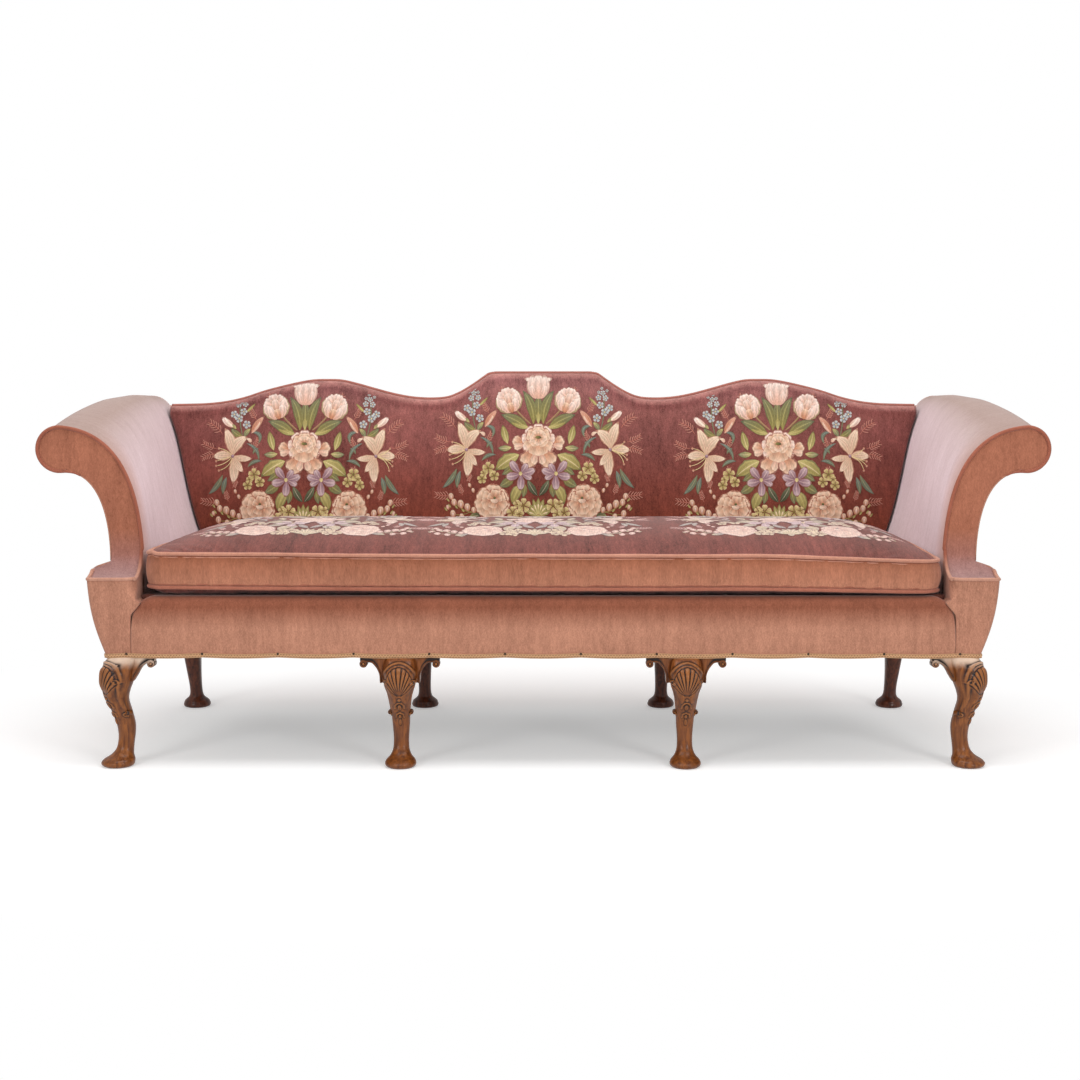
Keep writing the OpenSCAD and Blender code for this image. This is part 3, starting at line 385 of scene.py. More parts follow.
def velvet(name, base, upward_sheen=None, shade_and_tone_ramps=(), stretch=ACROSS_X, strength=1.0, boxing=None):
    """Faded velvet with fine broken stripes. upward_sheen is a painted sheen on surfaces that face up,
    shade_and_tone_ramps is rows of (axis, start, end, colour), some of them painted light, and boxing is
    the colours of a cushion's sides, low and high."""
    f = Finish(name)
    colour = base
    # Ramps by height or depth: some paint shade or sheen, as noted where each velvet is made
    for axis, start, end, other in shade_and_tone_ramps:
        colour = f.mix(f.ramp(f.axis(axis), start, end), colour, other)
    # Painted sheen: surfaces that face up are mixed toward a paler colour
    if upward_sheen:
        colour = f.mix(f.ramp(f.facing_up(), 0.2, 0.9), colour, upward_sheen)
    short = tuple(min(1.0, 2.5 * v) for v in stretch)
    fine = f.noise(640.0, 2.0, 0.6, short)
    if boxing:
        side = f.attr("boxing")
        sides = f.mix(f.ramp(f.axis("Z"), 0.425, 0.5), *boxing)
        colour = f.mix(side, colour, sides)
        upright = f.noise(640.0, 2.0, 0.6, ACROSS_X)
        fine = f.node("Mix", {"data_type": "FLOAT"}, Factor=side, A=fine, B=upright).outputs[0]
    broad = f.noise(190.0, 2.0, 0.5, short)
    band = f.noise(52.0, 2.0, 0.5, stretch)
    cloud = f.noise(5.5, 3.0)
    thread = f.weighted((fine, 0.5), (broad, 0.26), (band, 0.24))
    tone = f.ramp(f.weighted((thread, 0.8), (cloud, 0.2)), 0.34, 0.66)
    deep = 1 - 0.42 * strength
    pale = 1 + 0.40 * strength
    shade = f.mix(tone, (deep, deep * 0.95, deep * 0.95, 1), (pale, pale * 1.03, pale * 1.05, 1))
    if boxing:
        shade = f.mix(f.math("MULTIPLY", side, 0.5), shade, (1, 1, 1, 1))
    colour = f.mix(1.0, colour, shade, "MULTIPLY")
    pile = f.noise(1500.0, 1.0)
    height = f.weighted((thread, 0.75), (pile, 0.25))
    return f.close(Base_Color=colour, Roughness=f.scaled(pile, 0.14, 0.8), Sheen_Weight=0.22,
                   Sheen_Roughness=0.5, Sheen_Tint=(1.0, 0.92, 0.9, 1), Specular_IOR_Level=0.08,
                   Normal=f.bump(height, 0.0008, 0.4))


WORN_LOW = leg_h - 0.034
UPRIGHT_GRAIN = (14.0, 14.0, 1.6)


def wood(name, light, dark, rough=0.3, carved=False, worn=None):
    """Waxed wood with grain, pores, painted shade in carved hollows and lighter raised parts, part wear and
    part painted highlight. worn is the pale colour of the top of a leg, where the polish has gone."""
    f = Finish(name)
    figure = f.noise(9.0, 4.0, 0.6, UPRIGHT_GRAIN, 0.6)
    pores = f.noise(60.0, 2.0, 0.5, UPRIGHT_GRAIN)
    colour = f.mix(f.ramp(figure, 0.35, 0.68), light, dark)
    colour = f.mix(f.math("MULTIPLY", f.ramp(pores, 0.55, 0.72), 0.4), colour, dark)
    rough = f.scaled(f.noise(25.0, 3.0), 0.2, rough)
    if worn:
        high = f.math("SUBTRACT", f.ramp(f.axis("Z"), WORN_LOW, leg_h - 0.006), 0.35)
        spots = f.math("SUBTRACT", f.noise(26.0, 4.0, 0.65), 0.35)
        patch = f.math("ADD", high, spots, clamp=True)
        near_top = f.ramp(f.axis("Z"), WORN_LOW, leg_h - 0.012)
        colour = f.mix(f.math("MULTIPLY", patch, near_top), colour, worn)
    if carved:
        # Painted shade darkens the carved hollows; raised parts lighten, part wear and part painted
        # highlight
        shade_highlight_wear = f.attr("shade_highlight_wear")
        colour = f.mix(f.math("MULTIPLY", shade_highlight_wear, -0.45, clamp=True), colour, tint(176, 116, 62))
        colour = f.mix(f.math("MULTIPLY", shade_highlight_wear, 1.7, clamp=True), colour, tint(30, 14, 8))
    return f.close(Base_Color=colour, Roughness=rough, Coat_Weight=0.2, Coat_Roughness=0.15,
                   Specular_IOR_Level=0.25, Normal=f.bump(pores, 0.0004, 0.3))


def cloth(name, light, dark, scale):
    """A plain weave of threads that cross."""
    f = Finish(name)
    across, along = [f.node("TexWave", {"bands_direction": axis}, Vector=f.place(), Scale=scale,
                            Distortion=0.6).outputs[1] for axis in "XY"]
    weave = f.math("MULTIPLY", across, along)
    return f.close(Base_Color=f.mix(weave, dark, light), Roughness=0.9, Specular_IOR_Level=0.15,
                   Normal=f.bump(weave, 0.001, 0.5))


def yarn(name, light, dark):
    """Woven braid whose raised threads are paler."""
    f = Finish(name)
    twist = f.noise(900.0, 2.0)
    share = f.weighted((f.attr("relief"), 0.85), (twist, 0.15))
    return f.close(Base_Color=f.mix(share, dark, light), Roughness=0.8, Sheen_Weight=0.2,
                   Normal=f.bump(twist, 0.0004, 0.5))


def metal(name, colour, rough):
    f = Finish(name)
    wear = f.noise(120.0, 3.0)
    return f.close(Base_Color=f.mix(wear, colour, tint(60, 50, 44)), Metallic=0.85,
                   Roughness=f.scaled(wear, 0.3, rough), Normal=f.bump(wear, 0.0003, 0.4))


salmon = tint(181, 127, 103)
facing_salmon = tint(163, 102, 78)
painted_sheen_pink = tint(225, 202, 206)
# The inside arms' pale pink and their paler tops are painted sheen
painted_top_sheen = tint(161, 137, 128)
arm_edge = tint(196, 150, 136)
mauve = tint(115, 63, 55)
wine = tint(117, 54, 38)
# Mid colour of the back, lighter than the wine below it: painted sheen
upper_back_sheen = tint(118, 65, 60)
terracotta = tint(164, 102, 82)

# The top band of the front border darkens to a deeper red: painted shade under the cushion
border_velvet = velvet("border_velvet", salmon, shade_and_tone_ramps=[("Z", 0.33, 0.38, tint(139, 82, 61))], strength=0.85)
block_velvet = velvet("block_velvet", salmon, strength=0.85)
# The pinker colour low on the facing and on its up-facing ear is painted sheen; higher up it ramps to the
# facing's salmon
facing_velvet = velvet("facing_velvet", tint(158, 110, 100), upward_sheen=tint(160, 124, 119),
                       shade_and_tone_ramps=[("Z", 0.475, 0.56, facing_salmon)], strength=0.9)
# The inside arm pales from salmon at the front to pink further back and on top: painted sheen
pink_velvet = velvet("pink_velvet", arm_edge, upward_sheen=painted_top_sheen, stretch=ACROSS_Y, strength=0.4,
                     shade_and_tone_ramps=[("Y", facing_y, facing_y + 0.1, painted_sheen_pink)])
# The back lightens from wine low down to its crest colour, and on up-facing parts: painted sheen
back_velvet = velvet("back_velvet", wine, upward_sheen=tint(158, 106, 98),
                     shade_and_tone_ramps=[("Z", 0.52, 0.78, upper_back_sheen), ("Z", 0.83, 0.95, tint(142, 92, 90))], strength=1.7)
seat_velvet = velvet("seat_velvet", mauve, stretch=ALONG_Y, strength=1.7,
                     boxing=(tint(184, 124, 98), tint(150, 90, 65)))
deck_velvet = velvet("boxing_velvet", tint(120, 72, 60))
piping_velvet = velvet("piping_velvet", terracotta, strength=0.5)
crest_velvet = velvet("crest_velvet", tint(158, 100, 88), strength=0.5)
arm_piping_velvet = velvet("arm_piping_velvet", tint(192, 142, 120), strength=0.5,
                           shade_and_tone_ramps=[("Z", 0.458, 0.5, tint(156, 92, 72))])
pale_piping = velvet("pale_piping", tint(190, 134, 112), strength=0.5)
walnut = wood("walnut", tint(144, 82, 34), tint(88, 44, 18), carved=True)
pale_walnut = wood("pale_walnut", tint(148, 86, 36), tint(92, 46, 19), carved=True,
                   worn=tint(226, 200, 178))
dark_walnut = wood("dark_walnut", tint(112, 58, 36), tint(54, 25, 18))
beech = wood("beech", tint(196, 160, 116), tint(160, 120, 80), 0.5)
jute = cloth("jute_weave", tint(188, 164, 124), tint(120, 98, 66), 120.0)
black_cotton = cloth("black_cotton", tint(52, 50, 50), tint(24, 23, 23), 200.0)
gimp_yarn = yarn("gimp_yarn", tint(222, 176, 130), tint(132, 82, 50))
wire = metal("spring_wire", tint(150, 150, 152), 0.3)
bronze = metal("nail_bronze", tint(84, 70, 56), 0.35)

# Nodes that keep their own shape
timbers = ["front_seat_rail", "rear_seat_rail", "seat_cross_rails", "corner_blocks", "inner_back_posts",
           "back_top_rail", "back_lower_rail"]
timbers += [side + part for side in ("left_", "right_")
            for part in ("seat_rail", "arm_front_post", "arm_rear_post", "arm_top_rail", "back_post")]
bare_nodes = ((beech, timbers), (jute, ["seat_webbing", "seat_hessian"]), (wire, ["seat_springs"]))
for material, names in bare_nodes:
    for name in names:
        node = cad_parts[name]
        node.data.materials.clear()
        node.data.materials.append(material)

# Arms: sections as width and height, from the foot over the inside and the scroll to the outside
front_bow = [[0, 0], [0, 0.5], [0.14, 0.97]]
rear_bow = [[0, 0.12], [0.38, 0.6], [0.3, 1.08]]
under_bow = [[0.444, 0.719], [0.3, 0.449], [0.305, 0.081]]
scroll_share = 1 - 2 * scroll_r / arm_h
scroll_centre = np.array([arm_w - scroll_r, arm_h - scroll_r])
depth_shares = [0, 0.18, 0.42, 0.7, 1]
climb_shares = [0, 0.3, 0.6, 0.86, 1]
climb_line = through([[d, c] for d, c in zip(depth_shares, climb_shares)], 60)
tack_share = 0.05


def arm_share(y):
    return np.clip((y - arm_y) / (back_meet_y - arm_y), 0, 1)


def lifted(points, y):
    """Section points raised as the arm climbs toward the back, and put in their place."""
    climb = arm_rise * np.interp(arm_share(y), climb_line[:, 0], climb_line[:, 1])
    out = np.array(points, float)
    out[:, 1] += climb * smooth(out[:, 1] / (arm_h * scroll_share))
    return out + [seat_half, arm_z]


def under_curve():
    return np.vstack([scroll_centre - [0, scroll_r], np.array(under_bow) * [arm_w, arm_h]])


def arm_over(y, n=60):
    """The inside of the arm and its scroll at a depth."""
    share = arm_share(y)
    bow = mix(np.array(front_bow), np.array(rear_bow), share) * [arm_w, arm_h]
    inside = bezier(np.vstack([bow, scroll_centre + [0, scroll_r]]), np.linspace(0, 1, 40))
    head = arc(scroll_centre, scroll_r, 90, -90, 24)[1:]
    tack = bezier(under_curve(), [tack_share])
    foot = [[0, rail_top - arm_z]]
    return lifted(resampled(np.vstack([foot, inside, head, tack]), n), y)


def arm_under(y, n=24):
    """The outside of the arm at a depth, from under the scroll down to the ledge."""
    return lifted(bezier(under_curve(), np.linspace(tack_share, 1, n)), y)


def arm_skin(section, rows):
    """Rows of a section from the facing to the raked plane of the back."""
    grid = []
    for u in np.linspace(0, 1, rows) ** 1.15:
        line = section(mix(facing_y, rear_y(0.6), u))
        y = mix(facing_y, rear_y(line[:, 1]) - cover_t, u)
        grid.append(np.stack([line[:, 0], y, line[:, 1]], 1))
    return np.array(grid)


SIDES = ((-1, "left"), (1, "right"))
for side, word in SIDES:
    inside = add_grids(word + "_arm_velvet", mirrored(arm_skin(arm_over, 40), side))
    dress(thicken(inside, thin_skin_t), pink_velvet, "frame",
          [word + "_inside_arm_cover", word + "_arm_stuffing"])
    outside = add_grids(word + "_outside_arm_velvet", mirrored(arm_skin(arm_under, 24), side))
    dress(thicken(outside, thin_skin_t), block_velvet, "frame",
          [word + "_outside_arm_cover"])

# Back
crest_shares = [
    [0.000, 0.000], [0.127, 0.000], [0.146, 0.040], [0.156, 0.120], [0.190, 0.390], [0.225, 0.625],
    [0.259, 0.765], [0.302, 0.800], [0.352, 0.765], [0.402, 0.660], [0.452, 0.510], [0.502, 0.350],
    [0.542, 0.250], [0.576, 0.235], [0.616, 0.245], [0.652, 0.310], [0.702, 0.440], [0.751, 0.590],
    [0.800, 0.775], [0.850, 0.905], [0.900, 0.970], [0.950, 0.990], [1.000, 1.000]
]
crest_line = through(crest_shares[1:], 200)
side_line = arm_over(back_meet_y, 160)[:90]
corner_z = back_top - crest_drop


def back_half(z):
    """Half the width of the back at a height."""
    return np.interp(np.minimum(z, corner_z), side_line[:, 1], side_line[:, 0]) - back_side_gap


def crest_z(share):
    """Height of the back's top edge at a share of its half width."""
    drop = np.interp(np.abs(share), crest_line[:, 0], crest_line[:, 1], left=0)
    return back_top - crest_drop * drop


def crowded(n, amount):
    """Numbers from -1 to 1 that stand closer together near the ends."""
    return np.sin(np.linspace(-1, 1, n) * half_turn / 2 * amount) / math.sin(half_turn / 2 * amount)


def back_surface(x, z):
    """Depth of the velvet on the front of the back."""
    share = np.clip(x / back_half(z), -1, 1)
    bend = crest_z(share) - back_edge_r
    rise = np.clip((z - deck_z) / (bend - deck_z), 0, 1)
    swell = back_crown * (1 - share ** 4) * np.sin(half_turn * np.minimum(rise, 0.98)) ** 0.8
    edge = 1 - np.clip((back_half(z) - np.abs(x)) / back_side_r, 0, 1)
    return face_y(z) - swell + back_side_r * (1 - np.sqrt(1 - edge ** 2))


def back_grid():
    shares = mix(crowded(241, 0.97), np.linspace(-1, 1, 241), 0.6)
    rows = []
    for t in np.linspace(0, 1, 50):
        z = mix(deck_z, crest_z(shares) - back_edge_r, t)
        x = shares * back_half(z)
        rows.append(np.stack([x, back_surface(x, z), z], 1))
    last = rows[-1]
    for a in np.radians(np.linspace(10, 90, 9)):
        z = last[:, 2] + back_edge_r * math.sin(a)
        rows.append(np.stack([shares * back_half(z), last[:, 1] + back_edge_r * (1 - math.cos(a)), z], 1))
    edge = rows[-1]
    for t in (0.3, 0.7, 1.0):
        y = mix(edge[:, 1], rear_y(edge[:, 2]) - cover_t, t)
        rows.append(np.stack([edge[:, 0], y, edge[:, 2]], 1))
    return np.array(rows)


inside_back = add_grids("back_velvet_front", back_grid())
dress(thicken(inside_back, thin_skin_t), back_velvet, "frame",
      ["inside_back_cover", "back_pad"])

# Side borders: a bowed block under each arm with a flat ear before it
bow_shares = [[0.4, 0], [0.75, 0.36], [0.94, 0.55]]
border_x = border_out - side_bulge
ledge_x = seat_half + under_bow[2][0] * arm_w
ledge_top = arm_z + under_bow[2][1] * arm_h
ledge_low = arm_z + ledge_rise
bow_line = bezier([[border_x + s[0] * side_bulge, leg_h + s[1] * (ear_z - leg_h)] for s in bow_shares]
                  + [[border_out, ledge_low]], np.linspace(0, 1, 60))
cove_y = facing_y - cove_r
seam_x = 0.9685
border_end_r = 0.055


def bow_x(z):
    return np.interp(z, bow_line[:, 1], bow_line[:, 0])


def cove_z(y):
    """Height of the ear, flat at the front and curving up into the facing."""
    return cove_top - np.sqrt(np.maximum(cove_r ** 2 - np.maximum(y - cove_y, 0) ** 2, 0))


ledge_t = np.linspace(0, 1, 60)
ledge_fall = 0.28 * np.exp(-ledge_t / 0.14) + 0.72 * np.sqrt(1 - ledge_t ** 3)


def ledge_z(x):
    """Height of the ledge: steep beside the arm, then nearly level, then rounded off at its edge."""
    share = np.interp((x - ledge_x) / (border_out - ledge_x), ledge_t, ledge_fall)
    return ledge_low + (ledge_top - ledge_low) * share


def ledge_out(z):
    """How far out the ledge has fallen to a height."""
    share = (z - ledge_low) / (ledge_top - ledge_low)
    return ledge_x + (border_out - ledge_x) * np.interp(share, ledge_fall[::-1], ledge_t[::-1])


def border_end_x(z):
    """How far the front border's rounded end reaches at a height."""
    up = np.clip((z - deck_z + border_end_r) / border_end_r, 0, 1)
    return seam_x - border_end_r + border_end_r * np.sqrt(1 - up ** 2)


def block_plan(z, n_in=16, n_corner=14, n_front=30, n_out=10, n_side=60):
    """Outline of the block at a height, from the seat side round the front to the back."""
    over_rail = smooth((z - rail_top + 0.004) / 0.01)
    tuck = 0.008 * smooth((z - rail_top + 0.032) / 0.02)
    inner = mix(border_end_x(min(z, rail_top)) + 0.0005 - tuck, seat_half, over_rail)
    r = mix(0.003, ear_in_r, smooth((z - rail_top) / 0.035))
    outer = bow_x(z)
    inner_back = mix(front_y + 0.012, facing_y + 0.01, over_rail)
    inner_y = np.linspace(max(inner_back, front_y + r + 0.001), front_y + r, n_in)
    outer_y = np.linspace(front_y + ear_out_r, rear_y(z) - cover_t, n_side)
    front_x = np.linspace(inner + r, outer - ear_out_r, n_front)
    return np.vstack([
        np.stack([np.full(n_in, inner), inner_y], 1),
        arc((inner + r, front_y + r), r, 180, 270, n_corner)[1:],
        np.stack([front_x, np.full(n_front, front_y)], 1)[1:],
        arc((outer - ear_out_r, front_y + ear_out_r), ear_out_r, 270, 360, n_out)[1:],
        np.stack([np.full(n_side, outer), outer_y], 1)[1:],
    ])


def block_wall(rows=46):
    """The upright faces of the block, slightly puffed at the front."""
    top_plan = block_plan(ledge_low)
    top = np.minimum(cove_z(top_plan[:, 1]), ledge_z(top_plan[:, 0])) - 0.001
    grid = []
    for t in np.linspace(0, 1, rows):
        heights = mix(leg_h, top, t)
        ring = np.array([block_plan(z)[k] for k, z in enumerate(heights)])
        puff = 0.0015 * np.sin(half_turn * t)
        ring[:, 1] -= puff * np.exp(-((ring[:, 0] - mix(seam_x, border_out, 0.5)) / 0.03) ** 2)
        grid.append(np.column_stack([ring, heights]))
    return np.array(grid)


def ledge_grid(rows=70, cols=24):
    grid = []
    y_start = cove_y + math.sqrt(cove_r ** 2 - (cove_top - ledge_low) ** 2)
    for u in np.linspace(0, 1, rows) ** 1.3:
        y = mix(y_start, rear_y(ledge_top) - cover_t, u)
        inner = np.clip(ledge_out(cove_z(min(y, facing_y))), ledge_x, border_out)
        x = mix(inner - 0.0005, border_out, np.sin(np.linspace(0, half_turn / 2, cols)))
        grid.append(np.stack([x, np.full(cols, y), ledge_z(x)], 1))
    return np.array(grid)


# Facing, cove and ear top are one skin
def facing_grid(cols=26):
    rows = []
    ear_y = np.concatenate([front_y + (cove_y - front_y) * np.linspace(0, 1, 5)[:-1],
                            cove_y + cove_r * np.sin(np.linspace(0, half_turn / 2, 34))])
    for y in ear_y:
        near_in = max(0, front_y + ear_in_r - y)
        near_out = max(0, front_y + ear_out_r - y)
        inner = seat_half + ear_in_r - math.sqrt(max(ear_in_r ** 2 - near_in ** 2, 0)) + 0.001
        outer = border_out - ear_out_r + math.sqrt(max(ear_out_r ** 2 - near_out ** 2, 0)) - 0.001
        height = cove_z(y)
        outer = max(min(outer, ledge_out(height)), ledge_x)
        rows.append(([inner, y, height], [outer, y, height]))
    over = arm_over(arm_y, 400)
    head = over[np.argmax(over[:, 1] >= cove_top):]
    under = arm_under(arm_y, 200)
    under = np.vstack([over[-1:], under[under[:, 1] > cove_top]])[::-1]
    n = 90
    for a, b in list(zip(resampled(head, n), resampled(under, n)))[1:-1]:
        if np.hypot(*(a - b)) < 0.012 and a[0] > arm_out - 2 * scroll_r:
            break
        rows.append(([a[0] + 0.001, facing_y, a[1]], [b[0], facing_y, b[1]]))
    grid = []
    t = np.linspace(0, 1, cols)
    puff = 0.0022 * np.sin(half_turn * t) ** 0.7
    for k, (a, b) in enumerate(rows):
        line = np.array(a) + (np.array(b) - np.array(a)) * t[:, None]
        turn = np.clip((a[2] - ear_z) / cove_r, 0, 1)
        line[:, 1] -= puff * turn
        line[:, 2] += puff * (1 - turn)
        grid.append(line)
    return np.array(grid)


def piping_path():
    """The cord's way round the facing's edge, along the ear and back beside the ledge."""
    over = arm_over(arm_y, 260)
    rim = np.vstack([over[over[:, 1] > cove_top], arm_under(arm_y, 40)[1:8]])[::-1]
    out = right_of(directions(rim))
    if (rim[-1] + out[-1] * 0.001)[0] > rim[-1][0]:
        out = -out
    rim = rim + out * 0.0015
    path = [[x, facing_y - 0.001, z] for x, z in rim]
    lift = 0.0025
    for a in np.linspace(85, 0, 24):
        y = cove_y + cove_r * math.sin(math.radians(a))
        path.append([seat_half + lift, y, cove_z(y) + lift])
    corner = arc((seat_half + ear_in_r, front_y + ear_in_r), ear_in_r - lift, 180, 270, 12)
    path += [[x, y, ear_z + lift] for x, y in corner[1:]]
    corner = arc((border_out - ear_out_r, front_y + ear_out_r), ear_out_r - lift, 270, 360, 9)
    path += [[x, y, ear_z + lift] for x, y in corner]
    for y in np.linspace(corner[-1][1], rear_y(ledge_low) - 0.012, 60)[1:]:
        path.append([border_out - lift, y, min(cove_z(min(y, facing_y)), ledge_low) + lift])
    return resampled(path, 420)


for side, word in SIDES:
    block = add_grids(word + "_side_border_velvet", mirrored(block_wall(), side),
                      mirrored(ledge_grid(), side))
    dress(thicken(block, skin_t), block_velvet, "frame", [word + "_side_border"])
    facing = add_grids(word + "_arm_facing_velvet", mirrored(facing_grid(), side))
    dress(thicken(facing, skin_t), facing_velvet, "frame",
          [word + "_arm_facing", word + "_ear_pad"])
    cord = add_tube(word + "_arm_piping_cord", mirrored(piping_path(), side),
                    piping_r * np.clip(np.arange(420) / 14, 0.25, 1) ** 0.6)
    dress(cord, arm_piping_velvet, "frame", [word + "_arm_piping"])

# Front border: a padded face under a soft roll whose ends turn down
nail_pitch = 0.178
nail_count = 12
hem_sag = 0.0026


def hem_dip(x):
    """How far the hem hangs between two nails."""
    return hem_sag * np.abs(np.sin(half_turn * (x / nail_pitch - 0.5)))


def front_border_grid(cols=321):
    x = mix(seam_x * crowded(cols, 0.93), np.linspace(-seam_x, seam_x, cols), 0.5)
    end = np.clip((np.abs(x) - (seam_x - border_end_r)) / border_end_r, 0, 1)
    top = deck_z - border_end_r * (1 - np.sqrt(1 - end ** 2))
    inset = 0.002 * (1 - np.sqrt(1 - np.clip((np.abs(x) - seam_x + 0.012) / 0.012, 0, 1) ** 2))
    rows = []
    for t in np.linspace(0, 1, 30):
        z = mix(leg_h, top - front_roll_r, t)
        pulled_in = 0.0012 * math.exp(-t * 5) * (1 - hem_dip(x) / hem_sag) ** 3
        puff = 0.003 * np.sin(half_turn * t) ** 0.8 - pulled_in
        rows.append(np.stack([x, front_y - puff + inset, z], 1))
    for a in np.radians(np.linspace(8, 90, 12)):
        y = front_y + front_roll_r * (1 - math.cos(a))
        rows.append(np.stack([x, y + inset, top - front_roll_r * (1 - math.sin(a))], 1))
    for t in (0.4, 1.0):
        rows.append(np.stack([x, np.full(cols, mix(front_y + front_roll_r, bay_y, t)), top], 1))
    return np.array(rows)


front_border = add_grids("front_border_velvet", front_border_grid())
dress(thicken(front_border, skin_t), border_velvet, "frame",
      ["front_border_cover"])


# Deck under the cushion
def deck_grid(cols=80, rows=24):
    grid = []
    for v in np.linspace(0, 1, rows):
        y = mix(bay_y - 0.004, face_y(deck_z) + 0.03, v)
        x = np.linspace(-seat_half + 0.003, seat_half - 0.003, cols)
        z = deck_z - 0.001 - 0.006 * np.sin(half_turn * v) * (1 - (x / seat_half) ** 4)
        grid.append(np.stack([x, np.full(cols, y), z], 1))
    return np.array(grid)


deck = add_grids("seat_deck_velvet", deck_grid())
dress(thicken(deck, 0.016), deck_velvet, "frame",
      ["seat_deck_cover", "seat_stuffing"])


# Crest piping along the top edge of the back
def crest_path():
    shares = np.linspace(-0.998, 0.998, 400)
    z = crest_z(shares)
    x = shares * back_half(z)
    return np.stack([x, face_y(z) + back_edge_r + 0.006, z + 0.002], 1)


crest_cord = add_tube("crest_piping_cord", crest_path(), piping_r)
dress(crest_cord, crest_velvet, "frame", ["back_top_piping"])


# Outside back: one panel from the rail round the scrolls and over the crest
def outside_back():
    """The panel's points, its faces and its outline, all on the flat."""
    scroll = np.vstack([arm_under(back_meet_y, 40)[::-1], arm_over(back_meet_y, 160)[::-1]])
    turn = np.argmax(scroll[:, 1])
    upper = scroll[:turn + 1]
    rest = scroll[turn + 1:]
    rest = rest[(rest[:, 1] > corner_z) & (rest[:, 0] > back_half(corner_z))]
    shares = np.linspace(1, -1, 161)
    crest = np.stack([shares * back_half(crest_z(shares)), crest_z(shares)], 1)
    top = np.linspace(border_out, ledge_x, 24)[1:-1]
    half = np.vstack([bow_line[::3], np.stack([top, ledge_z(top)], 1), upper, rest])
    outline = np.vstack([half, crest, mirrored(half[::-1], -1)])
    low, high = outline.min(0), outline.max(0)
    inner = [(x, z) for x in np.arange(low[0] + 0.02, high[0] - 0.01, 0.03)
             for z in np.arange(low[1] + 0.015, high[1] - 0.005, 0.03)]
    count = len(outline)
    points = [Vector(p) for p in outline] + [Vector(p) for p in inner]
    result = delaunay_2d_cdt(points, [], [list(range(count))], 1, 1e-6)
    return [(v[0], v[1]) for v in result[0]], result[2], outline


def add_outside_back():
    flat, faces, outline = outside_back()
    flat = np.array(flat)
    gap = np.min(np.linalg.norm(flat[:, None, :] - outline[None, ::2, :], axis=2), axis=1)
    y = rear_y(flat[:, 1]) - 0.0035 + 0.003 * smooth(gap / 0.02)
    points = np.stack([flat[:, 0], y, flat[:, 1]], 1)
    obj = add_mesh("outside_back_velvet", points, [tuple(f) for f in faces])
    return thicken(obj, thin_skin_t)


dress(add_outside_back(), block_velvet, "frame", ["outside_back_cover"])


# Dust cover: black cotton tacked under the frame, slack between the tacks
def dust_grid():
    low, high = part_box("dust_cover")
    grid = []
    for v in np.linspace(0, 1, 24):
        x = np.linspace(low.x, high.x, 90)
        y = mix(low.y, high.y, v)
        across = np.abs(np.sin(half_turn * (x - low.x) / (high.x - low.x) * 3))
        sag = 0.006 * np.abs(np.sin(half_turn * v)) * across
        grid.append(np.stack([x, np.full(90, y), low.z + 0.0008 - sag], 1))
    return np.array(grid), high.x - low.x, high.y - low.y


dust_points, dust_w, dust_d = dust_grid()
dust = add_grids("dust_cover_cotton", dust_points)
dress(thicken(dust, 0.0008, 1), black_cotton, "frame", ["dust_cover"])

# Legs, carved by a height field over their front
# A front leg's rows: height, lean to the front, half depth, half width, squareness
front_leg_shares = [
    [1.000, 0.02, 0.89, 0.89, 5.0], [0.955, 0.22, 1.11, 0.97, 4.0], [0.900, 0.45, 1.27, 1.00, 3.2],
    [0.840, 0.60, 1.35, 1.00, 2.8], [0.760, 0.68, 1.23, 0.95, 2.5], [0.690, 0.70, 1.03, 0.80, 2.4],
    [0.610, 0.65, 0.81, 0.68, 2.3], [0.500, 0.35, 0.65, 0.61, 2.2], [0.380, 0.08, 0.54, 0.56, 2.2],
    [0.290, 0.03, 0.50, 0.51, 2.2], [0.220, 0.08, 0.46, 0.49, 2.2], [0.150, 0.19, 0.50, 0.53, 2.1],
    [0.100, 0.38, 0.65, 0.68, 2.0], [0.065, 0.59, 0.86, 0.92, 2.0], [0.038, 0.70, 1.00, 1.00, 2.0],
    [0.015, 0.70, 0.96, 0.96, 2.0], [0.000, 0.68, 0.84, 0.82, 2.0]
]
# A rear leg's rows: height, kick to the rear, half width, squareness
rear_leg_shares = [
    [1.00, 0.00, 1.00, 5.0], [0.82, 0.10, 0.94, 4.0], [0.60, 0.30, 0.82, 3.2], [0.40, 0.55, 0.69, 2.6],
    [0.25, 0.78, 0.61, 2.3], [0.15, 0.90, 0.64, 2.1], [0.09, 0.96, 0.86, 2.0], [0.05, 1.00, 0.96, 2.0],
    [0.03, 1.00, 1.00, 2.0], [0.01, 1.00, 0.95, 2.0], [0.00, 1.00, 0.81, 2.0]
]
knee_low, knee_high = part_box("mid_right_front_leg")
rear_leg_low, rear_leg_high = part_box("mid_right_rear_leg")
knee_half = (knee_high.x - knee_low.x) / 2
leg_top_half = knee_half * front_leg_shares[0][3]
rear_leg_half = 0.0285
rear_foot_half = (rear_leg_high.x - rear_leg_low.x) / 2
rear_kick = 0.064
mid_leg_x = (knee_low.x + knee_high.x) / 2
corner_leg_x = seat_half + 0.45 * 2 * knee_half
leg_y = front_y + leg_top_half
corner_full = 1.05


def ridge(s, z, path, width):
    """How near points are to a path, 1 on it and falling away over its width."""
    best = np.full(s.shape, 1e9)
    for (x0, z0), (x1, z1) in zip(path[:-1], path[1:]):
        dx, dz = x1 - x0, z1 - z0
        t = np.clip(((s - x0) * dx + (z - z0) * dz) / (dx * dx + dz * dz), 0, 1)
        best = np.minimum(best, (s - x0 - t * dx) ** 2 + (z - z0 - t * dz) ** 2)
    return np.exp(-best / width ** 2)


